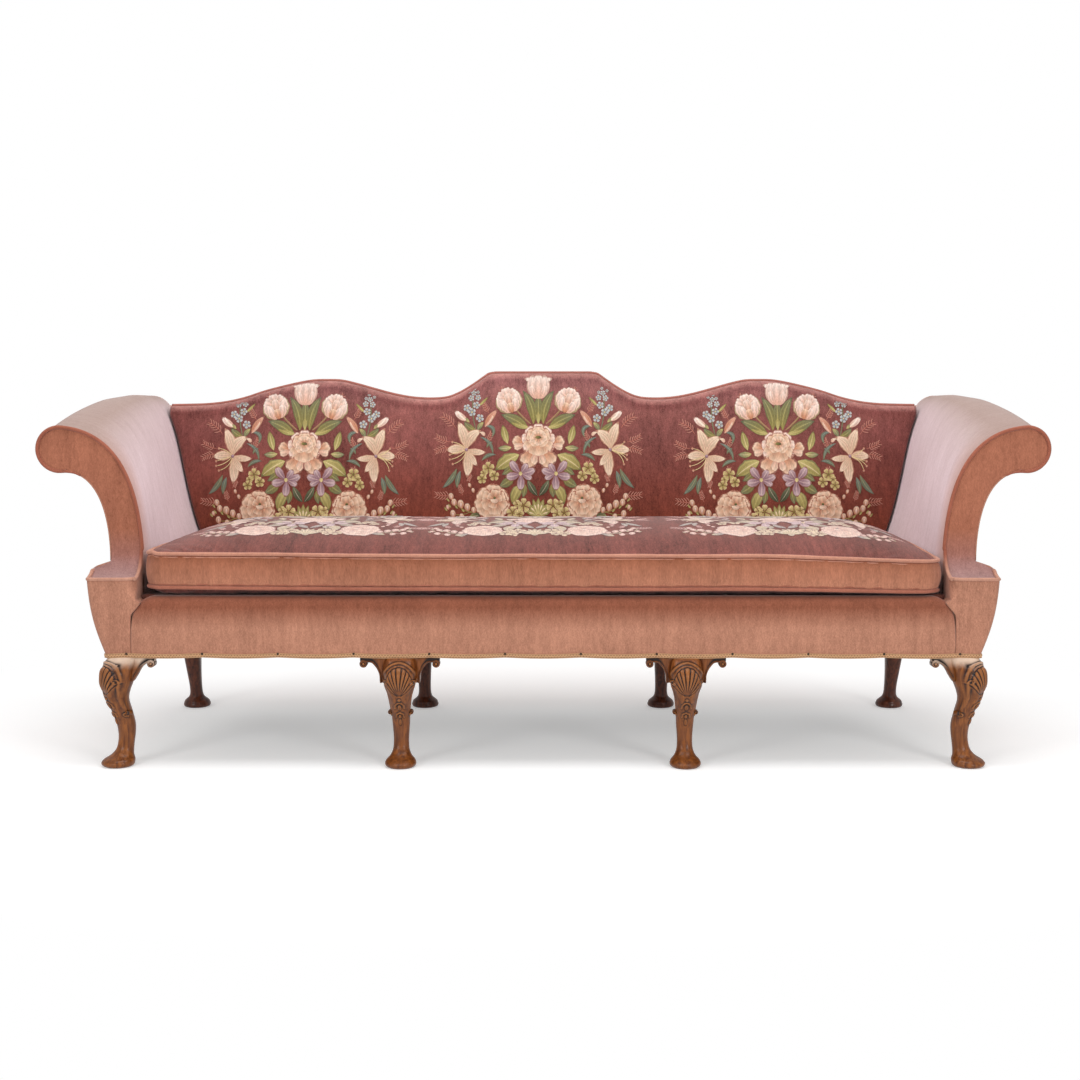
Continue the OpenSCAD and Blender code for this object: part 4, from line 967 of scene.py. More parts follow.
def volute(s, z, cx, cz, r, turn):
    """A small spiral scroll, seen from its front."""
    dx, dz = (s - cx) * turn, z - cz
    d = np.hypot(dx, dz)
    angle = np.arctan2(dz, dx) / (2 * half_turn)
    coil = 0.5 + 0.5 * np.cos(2 * half_turn * (d / r * 1.6 - angle))
    return (0.45 + 0.55 * coil) * (1 - smooth((d - r * 0.8) / (r * 0.3)))


def knee_carving(s, z):
    """Height of the carving in millimetres: s across the leg and z above the floor, in millimetres."""
    base_z = 167.5
    angle = np.degrees(np.abs(np.arctan2(s, z - base_z)))
    r = np.hypot(s, z - base_z)
    rib = np.interp(angle, [0, 11.5, 19.8, 28.6, 39.5, 54], [0, 1, 2, 3, 4, 5.2])
    reach = np.interp(angle, [0, 11.5, 19.8, 28.6, 39.5], [76.3, 73.5, 68, 60.5, 50])
    off = rib - np.round(rib)
    along = r / reach
    inside = (1 - smooth((along - 0.97) / 0.05)) * (1 - smooth((rib - 4.35) / 0.3)) * smooth((z - 170) / 6)
    lobe = np.sqrt(np.maximum(0, 1 - (2.08 * off) ** 2))
    round_end = np.sqrt(np.maximum(0, 1 - np.clip((along - 0.86) / 0.12, 0, 1) ** 2))
    lobe *= smooth((along - 0.16) / 0.35) * round_end
    height = inside * (4.2 * lobe - 2.2)
    rim = arc((0, 212), 38.5, -8, 188, 24)
    height += 2.6 * ridge(s, z, rim, 2.1)
    for side in (-1, 1):
        edge = mirrored([(36, 204), (31, 186), (26.5, 166), (25.5, 146), (27, 128)], side)
        height += 2.8 * ridge(s, z, edge, 2.2)
        leaf = mirrored([(27, 196), (19, 182), (10.5, 168), (12, 158)], side)
        height += 1.5 * ridge(s, z, leaf, 4.2) * (1 - inside)
        height += 3.0 * volute(s, z, side * 31, 206, 6.4, side)
        height += 3.2 * volute(s, z, side * 26, 123.5, 6.2, side)
    husks = (
        [(-10.5, 143), (-9.5, 151), (-4.5, 156), (0, 157.5), (4.5, 156), (9.5, 151), (10.5, 143)],
        [(-8.5, 120), (-7.5, 127), (0, 131), (7.5, 127), (8.5, 120)],
    )
    for husk in husks:
        height += 2.6 * ridge(s, z, husk, 2.0)
    for bead_z, wide, tall in ((164.5, 4.2, 3.8), (145, 4.2, 7.0), (121.5, 3.6, 5.5), (107, 3.4, 9.0)):
        bead = 1 - (s / wide) ** 2 - ((z - bead_z) / tall) ** 2
        height += 3.2 * np.sqrt(np.maximum(0, bead))
    return height


def blurred(grid, n):
    """A soft copy of a grid of values."""
    out = grid
    for axis in (0, 1):
        padded = np.concatenate([np.repeat(out.take([0], axis), n, axis), out,
                                 np.repeat(out.take([-1], axis), n, axis)], axis)
        total = np.cumsum(padded, axis)
        size = out.shape[axis]
        total = np.concatenate([np.zeros_like(total.take([0], axis)), total], axis)
        window = 2 * n + 1
        out = (total.take(range(window, window + size), axis) - total.take(range(size), axis)) / window
    return out


def scroll_form(form, place, centre, r, front, back, start, band):
    """A scroll seen from its front: a core with painted shade, and a band that winds in to a raised eye
    with a painted highlight.
    """
    cx, cz = centre
    a = np.linspace(0, 2 * half_turn, 32, endpoint=False)
    core = r - 0.0012
    rings = [np.stack([cx + size * np.cos(a), np.full(32, y), cz + size * np.sin(a)], 1)
             for y, size in ((back, core), (mix(back, front, 0.5), core), (front + 0.0012, core),
                             (front + 0.0004, core * 0.92))]
    # The core is darkened: painted shade inside the scroll
    dark = np.array([0.0, 0.15, 0.9, 0.9])[:, None]
    form.add_solid(place(np.array(rings)), dark)
    turns = np.linspace(0, 1, 90)
    around = np.radians(start - 430 * turns)
    reach = mix(r - band, r * 0.5, turns)
    path = np.stack([cx + reach * np.cos(around), front + 0.0008 - 0.0010 * turns,
                     cz + reach * np.sin(around)], 1)
    size = np.interp(turns, [0, 0.5, 1], [band, band * 0.8, band * 0.45])
    form.add_solid(place(tube_grid(path, size, 8)), 0.12)
    eye = []
    for t in np.linspace(0, half_turn / 2, 7):
        size = r * 0.3 * math.cos(t) + 0.00005
        eye.append(np.stack([cx + size * np.cos(a), np.full(32, front - r * 0.36 * math.sin(t)),
                             cz + size * np.sin(a)], 1))
    # The eye is lightened: a painted highlight
    form.add_solid(place(np.array(eye)), -1.0)


def front_leg(name, x, lean, node, material):
    """A carved leg that bows out along lean. A corner leg is fuller and as wide as it is deep."""
    table = through(front_leg_shares, 400)[::-1]
    lean = np.array(lean, float) / np.linalg.norm(lean)

    def sizes(h):
        forward, deep, wide, square = [np.interp(h, table[:, 0], table[:, k]) for k in range(1, 5)]
        if abs(lean[0]) > 0.01:
            wide = deep = wide * corner_full
        return forward, deep, wide, square

    heights = np.concatenate([np.linspace(0, 0.09, 36)[:-1], np.linspace(0.09, 0.36, 34)[:-1],
                              np.linspace(0.36, 1, 160)])
    forward, deep, wide, power = sizes(heights[:, None])
    t = np.linspace(-1, 1, 161)[:-1]
    front = math.atan2(lean[1], lean[0])
    angle = (front + half_turn * np.sign(t) * np.abs(t) ** 1.3)[None, :]
    c, s = np.cos(angle), np.sin(angle)
    c = np.sign(c) * np.abs(c) ** (2 / power)
    s = np.sign(s) * np.abs(s) ** (2 / power)
    px = x + lean[0] * forward * knee_half + wide * knee_half * c
    py = leg_y + lean[1] * forward * knee_half + deep * knee_half * s
    pz = np.broadcast_to((heights * leg_h)[:, None], px.shape)
    grid = np.stack([px, py, pz], 2)
    across = np.roll(grid, -1, 1) - np.roll(grid, 1, 1)
    up = np.gradient(grid, axis=0)
    normal = np.cross(across, up)
    normal /= np.maximum(np.linalg.norm(normal, axis=2), 1e-9)[:, :, None]
    middle = grid.mean(1)[:, None, :]
    normal *= np.sign(((grid - middle) * normal).sum(2))[:, :, None]
    side = np.array([-lean[1], lean[0]])
    lateral = ((grid[:, :, :2] - [x, leg_y]) @ side) / mm
    ahead = normal[:, :, :2] @ lean
    height = knee_carving(lateral, pz / mm) * smooth((ahead + 0.12) / 0.3)
    height = height * smooth((leg_h - pz) / 0.004)
    grid = grid + normal * height[:, :, None] * mm
    # Grooves below their neighbours get painted shade; raised parts get lighter, part wear and part painted
    # highlight
    shade_highlight_wear = np.clip((blurred(height, 3) - height) / 0.9, -1, 1)
    form = Form()
    form.add_solid(grid, shade_highlight_wear)
    station = 0.49
    forward, deep, wide, _ = sizes(station)
    reach = knee_half * wide + 0.002
    scroll_y = -knee_half * (forward + 0.25 * deep)
    h = np.linspace(station + 0.03, 0.7, 40)
    forward, deep, wide, _ = sizes(h)
    line = np.stack([knee_half * wide - 0.0008, -knee_half * (forward + 0.25 * deep) + 0.001, h * leg_h], 1)
    size = 0.0026 * np.sin(half_turn * np.clip((h - station) / (0.74 - station), 0, 1)) ** 0.4
    for turn in (-1, 1):
        def place(points):
            points = np.asarray(points, float)
            flat = [x, leg_y] + points[..., :1] * turn * side - points[..., 1:2] * lean
            return np.concatenate([flat, points[..., 2:]], -1)

        scroll_form(form, place, (reach, station * leg_h), 0.0068, scroll_y, scroll_y + 0.016, 150, 0.0015)
        form.add_solid(place(tube_grid(line, size, 8)), -0.1)
        # A thin dark tube tucked beside the line is a painted shadow line
        form.add_solid(place(tube_grid(line - [0.0036, 0.0016, 0], size * 0.5, 8)), 0.9)
    dress(outward(form.make(name, "shade_highlight_wear")), material, "frame", [node])


def rear_leg(name, x, node):
    """A plain round leg that kicks to the rear and ends in a pad."""
    table = through(rear_leg_shares, 300)[::-1]
    heights = np.concatenate([np.linspace(0, 0.12, 30)[:-1], np.linspace(0.12, 1, 60)])
    kick, wide, power = [np.interp(heights, table[:, 0], table[:, k])[:, None] for k in range(1, 4)]
    blend = smooth((heights[:, None] - 0.06) / 0.06)
    half = wide * mix(rear_foot_half, rear_leg_half, blend)
    angle = np.linspace(0, 2 * half_turn, 64, endpoint=False)[None, :]
    c, s = np.cos(angle), np.sin(angle)
    px = x + half * np.sign(c) * np.abs(c) ** (2 / power)
    py = rear_y(leg_h) - rear_leg_half + kick * rear_kick + half * np.sign(s) * np.abs(s) ** (2 / power)
    grid = np.stack([px, py, np.broadcast_to((heights * leg_h)[:, None], px.shape)], 2)
    form = Form()
    form.add_solid(grid)
    dress(outward(form.make(name, "shade_highlight_wear")), dark_walnut, "frame", [node])


bracket_l = 0.058
bracket_h = 0.062
bracket_t = 0.026
volute_r = 0.01
volute_drop = 0.006
knee_shares = [[0.16, 0.985], [0.175, 0.86], [0.18, 0.716], [0.22, 0.57], [0.3, 0.42], [0.417, 0.282],
               [0.534, 0.2], [0.66, 0.21]]
corner_shares = [[0.05, 0.94], [0.15, 0.8], [0.236, 0.68], [0.4, 0.42], [0.636, 0.25], [0.74, 0.24]]


def bracket_form(form, place, start, length, shares, root):
    """A knee bracket: a coved board with a moulding along its edge that winds into a scroll."""
    lower = through([[start + s * length, -d * bracket_h] for s, d in shares], 60)
    end = start + length
    edge = np.vstack([[[root, lower[0][1]]], lower,
                      [[end - 0.006, lower[-1][1]], [end - 0.002, -volute_r]]])
    board = []
    for x, z in edge:
        loop = np.array([[0.002, 0], [0.002, z + 0.003], [0.004, z], [bracket_t - 0.003, z],
                         [bracket_t, z + 0.003], [bracket_t, 0]])
        loop = resampled(loop, 22)
        board.append(np.stack([np.full(22, x), loop[:, 0], loop[:, 1]], 1))
    board = np.array(board)
    # The board darkens toward its lower edge by the moulding: painted shade in the recess
    near = (np.linspace(0, 1, len(edge))[:, None] > 0.02) & (board[:, :, 1] < 0.003)
    depth = (board[:, :, 2] - edge[:, 1][:, None]) / 0.011
    form.add_solid(place(board), 0.75 * near * np.clip(1.6 - depth, 0, 1))
    inset = 0.0023
    line = lower - right_of(directions(lower)) * inset
    centre = (end - volute_r, -volute_r - volute_drop)
    line = line[line[:, 0] < centre[0] - 0.013]
    first = np.radians(np.linspace(130, 95, 4))
    join = np.stack([centre[0] + (volute_r - inset) * np.cos(first),
                     centre[1] + (volute_r - inset) * np.sin(first)], 1)
    path = through(np.vstack([line[::5], line[-1:], join]), 90)
    moulding = np.stack([path[:, 0], np.full(90, 0.0008), path[:, 1]], 1)
    form.add_solid(place(tube_grid(moulding, inset, 8)), 0.22)
    scroll_form(form, place, centre, volute_r, 0.0, bracket_t - 0.001, 95, inset)


def bracket_place(x, y, flip, sideways=False):
    """Puts a bracket beside a leg. flip points it to the other side, and sideways turns it rearward."""
    def place(grid):
        out = np.array(grid, float)
        if sideways:
            out = np.stack([-out[..., 1] * flip, out[..., 0], out[..., 2]], -1)
        else:
            out[..., 0] *= flip
        return out + [x, y, leg_h]
    return place


knee_start = knee_half + 0.0005
corner_start = 2 * knee_half * 0.28
corner_length = bracket_l * 0.97
for side, word in SIDES:
    front_leg("mid_%s_front_leg_carved" % word, side * mid_leg_x, [0, -1],
              "mid_%s_front_leg" % word, walnut)
    front_leg("far_%s_front_leg_carved" % word, side * corner_leg_x, [side, -1],
              "far_%s_front_leg" % word, pale_walnut)
    rear_leg("mid_%s_rear_leg_turned" % word, side * mid_leg_x, "mid_%s_rear_leg" % word)
    rear_leg("far_%s_rear_leg_turned" % word, side * corner_leg_x, "far_%s_rear_leg" % word)
    form = Form()
    for flip in (-1, 1):
        bracket_form(form, bracket_place(side * mid_leg_x, front_y, flip), knee_start, bracket_l,
                     knee_shares, knee_half - 0.01)
    dress(outward(form.make("mid_%s_brackets_carved" % word, "shade_highlight_wear")), walnut, "frame",
          ["middle_knee_brackets"])
    form = Form()
    for place in (bracket_place(side * corner_leg_x, front_y, -side),
                  bracket_place(side * (corner_leg_x + leg_top_half), leg_y, side, True)):
        bracket_form(form, place, corner_start, corner_length, corner_shares, 0.012)
    dress(outward(form.make("far_%s_brackets_carved" % word, "shade_highlight_wear")), pale_walnut, "frame",
          ["corner_knee_brackets"])


# Gimp braid along the hem, drawn up at each nail
hem_step = 0.00125


def hem_path():
    """Half of the hem's plan, from the middle of the front round a corner to the back, with its way out."""
    z = leg_h + 0.005
    outer = bow_x(z)
    plan = np.vstack([[[0, front_y], [outer - ear_out_r, front_y]],
                      arc((outer - ear_out_r, front_y + ear_out_r), ear_out_r, 270, 360, 20)[1:],
                      [[outer, rear_y(z) - 0.008]]])
    length = np.sum(np.linalg.norm(np.diff(plan, axis=0), axis=1))
    plan = resampled(plan, int(length / hem_step))
    return plan, right_of(directions(plan)), np.arange(len(plan)) * hem_step


def gimp_form():
    plan, out, gone = hem_path()
    middle = leg_h + 0.0052 - hem_dip(np.where(plan[:, 1] < front_y + 0.001, plan[:, 0], gone))
    form = Form()

    def strand(rise, proud, value, every=1):
        path = np.column_stack([plan + out * proud, middle + rise])[::every]
        for side in (-1, 1):
            form.add_solid(mirrored(tube_grid(path, 0.0011, 6), side), value)

    wave = (gone / 0.0068) % 1
    zigzag = 2.9 * mm * (np.abs(wave * 4 - 2) - 1)
    strand(zigzag, 0.0026, 1.0)
    strand(4.2 * mm, 0.0022, 0.6, every=4)
    strand(-4.2 * mm, 0.0022, 0.6, every=4)
    section = np.array([[0.0002, -4.6], [0.0018, -4.6], [0.0018, 0], [0.0018, 4.6], [0.0002, 4.6]])
    band = [np.column_stack([plan + out * y, middle + z * mm]) for y, z in section]
    for side in (-1, 1):
        form.add_solid(mirrored(np.stack(band, 1)[::4], side), 0.3)
    return form


gimp = gimp_form().make("gimp_braid_woven", "relief")
dress(outward(gimp), gimp_yarn, "frame", ["gimp_braid"])


def nail_form():
    """Small domed nails at the top of the braid."""
    form = Form()
    a = np.linspace(0, 2 * half_turn, 14, endpoint=False)
    for k in range(nail_count):
        x = (k - (nail_count - 1) / 2) * nail_pitch
        rings = []
        for r, y in ((2.0, 0.5), (3.0, -2.6), (3.0, -3.2), (2.5, -4.0), (1.6, -4.6), (0.5, -4.9)):
            rings.append(np.stack([x + r * mm * np.cos(a), np.full(14, front_y + y * mm),
                                   leg_h + 0.0085 + r * mm * np.sin(a)], 1))
        form.add_solid(np.array(rings))
    return form


dress(outward(nail_form().make("trim_nails_domed")), bronze, "frame", ["trim_nails"])

# Cushion
boxing_low, boxing_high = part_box("cushion_boxing")
cushion_low_z = boxing_low.z
cushion_high_z = boxing_high.z
cushion_front_y = boxing_low.y
cushion_rear_y = boxing_high.y
cushion_half_x = boxing_high.x
cushion_top_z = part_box("cushion_top_cover")[1].z
cushion_base_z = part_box("cushion_bottom_cover")[0].z
cushion_mid_y = (cushion_front_y + cushion_rear_y) / 2
cushion_deep = (cushion_rear_y - cushion_front_y) / 2
cushion_corner_r = 0.042
cushion_draw = 0.012


def cushion_plan(u, v):
    """A place on the cushion's plan: u and v run from -1 to 1 and their ends follow the rounded outline."""
    w, d, r = cushion_half_x, cushion_deep, cushion_corner_r
    x, y = u * w, v * d
    cx, cy = np.clip(x, r - w, w - r), np.clip(y, r - d, d - r)
    dx, dy = x - cx, y - cy
    far = np.hypot(dx, dy)
    k = np.where(far > 1e-9, np.maximum(np.abs(dx), np.abs(dy)) / np.maximum(far, 1e-9), 1)
    x, y = cx + dx * k, cy + dy * k
    return x - cushion_draw * u * np.abs(v) ** 4, cushion_mid_y + y - cushion_draw / 2 * v * np.abs(u) ** 6


def seam_shift(u, v):
    """How far the slack cushion's two seams leave their level: up on the left, down on the right."""
    front = smooth((0.4 - v) / 1.2)
    tired = smooth((u - 0.5) / 0.5) * front
    upper = 0.004 * smooth((-u - 0.2) / 0.8) - 0.002 - 0.013 * tired + 0.0012 * ripple(u * 9, v * 3, seed=1)
    lower = 0.003 * smooth((-u - 0.2) / 0.8) - 0.006 * tired + 0.001 * ripple(u * 8, v * 4, seed=2)
    corner = np.exp(-((np.abs(u) - 1) / 0.014) ** 2 - ((np.abs(v) - 1) / 0.05) ** 2)
    return upper + 0.004 * corner * (u < 0), lower


def swell(u, v):
    """Share of the crown at a place on the plan."""
    side = 1 - (1 - np.clip((1 - np.abs(u)) * cushion_half_x / 0.26, 0, 1)) ** 2.2
    near = 1 - (1 - np.clip((v + 1) * cushion_deep / 0.34, 0, 1)) ** 2.2
    far = 1 - (1 - np.clip((1 - v) * cushion_deep / 0.2, 0, 1)) ** 2.2
    return side * near * far


def belly(u, v):
    """Share of the bottom panel's drop at a place on the plan."""
    edge = np.minimum((1 - np.abs(u)) * cushion_half_x, (1 - np.abs(v)) * cushion_deep)
    return 1 - (1 - np.clip(edge / 0.06, 0, 1)) ** 2.4


def eased(n):
    """Numbers from -1 to 1, closer together near the ends."""
    t = np.linspace(-1, 1, n)
    return mix(t, np.sin(t * half_turn / 2), 0.45)


def add_cushion(nu=181, nv=61, nb=9):
    """Top and bottom panels and the boxing between their seams, as one closed skin."""
    u, v = np.meshgrid(eased(nu), eased(nv))
    x, y = cushion_plan(u, v)
    upper, lower = seam_shift(u, v)
    crease = 0.0025 * np.exp(-((v + 0.25 - 0.35 * (u - 0.55)) / 0.05) ** 2) * smooth((u - 0.3) / 0.2)
    crease += 0.003 * np.exp(-((v + 0.45 - 0.9 * (u - 0.75)) / 0.07) ** 2) * smooth((u - 0.5) / 0.2)
    dome = swell(u, v)
    z = cushion_high_z + upper + (cushion_top_z - cushion_high_z - upper - 0.002) * dome
    z += (0.0022 * ripple(u * 7, v * 5, seed=3) + crease) * dome ** 0.5 - 0.0022 * dome
    top = np.stack([x, y, z], 2).reshape(-1, 3)
    low = cushion_low_z + lower
    z = low - (low - cushion_base_z - 0.0005) * belly(u, v)
    bottom = np.stack([x, y, z], 2).reshape(-1, 3)
    index = np.arange(nu * nv).reshape(nv, nu)
    ring = np.concatenate([index[0, :-1], index[:-1, -1], index[-1, :0:-1], index[:0:-1, 0]])
    ru, rv = u.ravel()[ring], v.ravel()[ring]
    count = len(top)
    points = [top, bottom]
    rows = [ring]
    away = top[ring, :2] - np.clip(top[ring, :2], [-0.86, -0.32], [0.86, 0.15])
    away /= np.linalg.norm(away, axis=1)[:, None]
    for k in range(1, nb + 1):
        t = k / (nb + 1)
        heights = mix(top[ring, 2], bottom[ring, 2], t)
        bulge = 0.0055 * np.sin(half_turn * t) ** 0.8 * (1 + 0.5 * smooth((ru - 0.9) / 0.1) * (rv < 0))
        fold = 0.0022 * np.sin(2 * half_turn * (t * 3.2 - (1 - ru) * 2.4))
        fold = fold * np.exp(-((t - 0.25) / 0.22) ** 2)
        bulge = bulge + fold * smooth((ru - 0.62) / 0.3) * smooth((-rv - 0.9) / 0.1)
        bulge = bulge + 0.0009 * ripple(ru * 14, t * 5, seed=5) * math.sin(half_turn * t)
        points.append(np.column_stack([top[ring, :2] + away * bulge[:, None], heights]))
        rows.append(2 * count + (k - 1) * len(ring) + np.arange(len(ring)))
    rows.append(count + ring)
    n = len(ring)
    faces = grid_faces(nv, nu) + [f[::-1] for f in grid_faces(nv, nu, start=count)]
    for a, b in zip(rows[:-1], rows[1:]):
        faces += [(a[i], a[(i + 1) % n], b[(i + 1) % n], b[i]) for i in range(n)]
    obj = add_mesh("seat_cushion_velvet", np.vstack(points), [tuple(int(i) for i in f) for f in faces])
    boxing = np.zeros(len(obj.data.vertices))
    boxing[2 * count:] = 1
    attribute(obj, "boxing", boxing)
    return outward(obj), rows[0], rows[-1]


settle_frames = 20


def settle(obj, held, cap):
    """Fills the cushion with air for a moment, so that its cloth puffs and creases between the
    held seams. No point moves further than cap."""
    count = len(obj.data.vertices)
    rest = np.empty(count * 3)
    obj.data.vertices.foreach_get("co", rest)
    rest = rest.reshape(-1, 3)
    group = obj.vertex_groups.new(name="held")
    group.add([int(i) for i in held], 1.0, "REPLACE")
    pressed = obj.modifiers.new("cloth", "CLOTH")
    for key, value in {"quality": 5, "mass": 0.2, "tension_stiffness": 12, "compression_stiffness": 12,
                       "bending_stiffness": 0.4, "use_pressure": True, "uniform_pressure_force": 4,
                       "shrink_min": -0.02, "vertex_group_mass": "held"}.items():
        setattr(pressed.settings, key, value)
    pressed.settings.effector_weights.gravity = 0
    pressed.point_cache.frame_start = 1
    pressed.point_cache.frame_end = settle_frames
    for step in range(1, settle_frames + 1):
        scene.frame_set(step)
    blown = obj.evaluated_get(bpy.context.evaluated_depsgraph_get())
    found = np.empty(count * 3)
    blown.data.vertices.foreach_get("co", found)
    move = found.reshape(-1, 3) - rest
    obj.modifiers.remove(pressed)
    obj.vertex_groups.clear()
    scene.frame_set(1)
    far = np.linalg.norm(move, axis=1)[:, None]
    move *= np.tanh(far / cap) * cap / np.maximum(far, 1e-9)
    move[:, :2] = np.clip(move[:, :2], -0.006, 0.006)
    shaped = rest + move
    shaped[:, 2] = np.clip(shaped[:, 2], cushion_base_z + 0.0003, cushion_top_z + 0.022)
    obj.data.vertices.foreach_set("co", shaped.ravel())
    obj.data.update()


cushion, upper_seam, lower_seam = add_cushion()
settle(cushion, np.concatenate([upper_seam, lower_seam]), 0.009)
seams = [np.array([cushion.data.vertices[int(i)].co[:] for i in seam]) for seam in (upper_seam, lower_seam)]
finer = cushion.modifiers.new("finer", "SUBSURF")
finer.levels = finer.render_levels = 1
dress(cushion, seat_velvet, "cushion",
      ["cushion_filling", "cushion_top_cover", "cushion_bottom_cover", "cushion_boxing"])
for word, seam, turn in (("top", seams[0], -1), ("bottom", seams[1], 1)):
    line = resampled(np.vstack([seam, seam[:1]]), 701)[:-1]
    away = line[:, :2] - [0, cushion_mid_y]
    away = away / [cushion_half_x, cushion_deep]
    away = np.sign(away) * (np.abs(away) > 0.93)
    away = away / np.maximum(np.linalg.norm(away, axis=1), 1)[:, None]
    form = Form()
    cord = line + np.column_stack([away * 0.0022, np.full(len(line), -turn * 0.0008)])
    ridge_line = line + np.column_stack([away * 0.0012, np.full(len(line), turn * 0.0072)])
    size = piping_r * (1 + 0.06 * ripple(np.arange(len(line)) * 0.35, seed=4))
    form.add(tube_grid(cord, size, 12, True), loop=True)
    form.add(tube_grid(ridge_line, 0.0017, 8, True), loop=True)
    dress(outward(form.make("cushion_%s_piping_cord" % word)),
          piping_velvet if turn > 0 else pale_piping, "cushion", ["cushion_piping"])

# Bouquets woven into the velvet: drawn once, in threads from the foot of their axis, and laid on six times
thread = 0.385 * mm
cream = (238, 216, 190)
shell = (242, 228, 218)
blush = (212, 164, 142)
peach = (190, 126, 94)
lilac = (190, 164, 170)
plum = (140, 102, 112)
olive = (144, 132, 74)
lime = (192, 178, 116)
green = (118, 120, 92)
teal = (112, 122, 112)
deep_green = (74, 76, 56)
sky = (178, 186, 186)
straw = (228, 206, 150)
rust = (178, 108, 92)
outline = (136, 88, 76)
across_petal = np.array([-1, -0.86, -0.74, -0.4, -0.09, 0, 0.09, 0.4, 0.74, 0.86, 1])
petal_cols = len(across_petal)


class Drawing:
    """Petals and leaves drawn flat, each with a lift off the cloth in millimetres and its own colours."""

    def __init__(self):
        self.points, self.colours, self.faces, self.count, self.order = [], [], [], 0, 0

    def petal(self, base, tip, width, inner, outer, lift, bend=0.0, fat=0.6, point=0.7, frill=0.0,
              vein=None, rim=0.9, edge=None):
        """fat is how far along the petal is widest, point how blunt it is, and rim how strong its
        outline is."""
        base, tip = np.array(base, float), np.array(tip, float)
        along = tip - base
        side = np.array([along[1], -along[0]])
        length = np.hypot(*along)
        rows = 7 if length < 60 else 11
        a = np.concatenate([np.linspace(0, 0.88, rows - 2), [0.94, 1]])
        half = np.sin(half_turn * np.clip(a, 0.012, 0.988) ** (math.log(0.5) / math.log(fat))) ** point
        middle = base + along * a[:, None] + side * (bend * 4 * a * (1 - a))[:, None]
        run = directions(middle)
        out = right_of(run)
        wave = 1 + frill * np.sin(a * 21 + self.order)
        b = across_petal
        spread = (half * wave)[:, None] * b[None, :] * width / 2
        flat = middle[:, None, :] + out[:, None, :] * spread[:, :, None]
        if frill:
            ruffle = frill * 0.35 * width * a[:, None] ** 3 * np.cos(b * 8)[None, :]
            flat += run[:, None, :] * ruffle[:, :, None]
        shape = (1 - b ** 2)[None, :] * np.sin(half_turn * a)[:, None]
        height = lift + 0.7 * shape ** 0.7 - 0.25 * (1 - shape)
        change = np.array(outer, float) - inner
        tone = np.array(inner, float)[None, None] + change[None, None] * (a ** 1.3)[:, None, None]
        tone = np.broadcast_to(tone, (rows, petal_cols, 3)).copy()
        streak = 0.14 * (np.abs(b) == 0.4)[None, :, None] * np.sin(half_turn * a)[:, None, None]
        tone *= 1 - streak
        if vein is not None:
            share = 0.7 * (b == 0)[None, :, None] * (a < 0.9)[:, None, None]
            tone += (np.array(vein, float) - tone) * share
        border = np.maximum((np.abs(b) > 0.8)[None, :], (a > 0.92)[:, None])[:, :, None]
        edge = np.array(outline if edge is None else edge, float)
        tone += (edge - tone) * border * rim
        start = self.count
        self.points.append(np.concatenate([flat, height[:, :, None]], 2).reshape(-1, 3))
        self.colours.append(tone.reshape(-1, 3))
        self.faces += grid_faces(rows, petal_cols, start=start)
        self.count += rows * petal_cols
        self.order += 1

    def stem(self, base, tip, colour, width, bend, lift=0.5):
        self.petal(base, tip, width, colour, colour, lift, bend, 0.5, 0.25, rim=0.25)

    def leaf(self, base, tip, width, inner, outer, lift, bend=0.0, frill=0.0, vein=lime):
        self.petal(base, tip, width, inner, outer, lift, bend, 0.48, 0.85, frill, vein, 0.5, deep_green)

    def dot(self, x, y, r, inner, outer, lift):
        self.petal((x, y - r), (x, y + r), 2 * r, inner, outer, lift, 0, 0.5, 0.5)

    def ring(self, x, y, start, reach, n, width, inner, outer, lift, turn, squash=1.0, frill=0.0,
             edge=None):
        """Petals all round, their bases at start from the middle and their tips at reach."""
        for k in range(n):
            angle = math.radians(turn + k * 360 / n)
            c, s = math.cos(angle), math.sin(angle) * squash
            self.petal((x + start * c, y + start * s), (x + reach * c, y + reach * s), width, inner, outer,
                       lift + 0.05 * (k % 2), frill=frill, fat=0.68, point=0.55, edge=edge)

    def blossom(self, x, y, r, n, inner, outer, heart, lift, turn):
        self.ring(x, y, r * 0.12, r, n, r * 4.4 / n, inner, outer, lift, turn)
        self.dot(x, y, r * 0.2, heart, heart, lift + 0.5)


def turned(points, x, y, degrees, scale):
    c, s = math.cos(math.radians(degrees)) * scale, math.sin(math.radians(degrees)) * scale
    return [(x + px * c - py * s, y + px * s + py * c) for px, py in points]


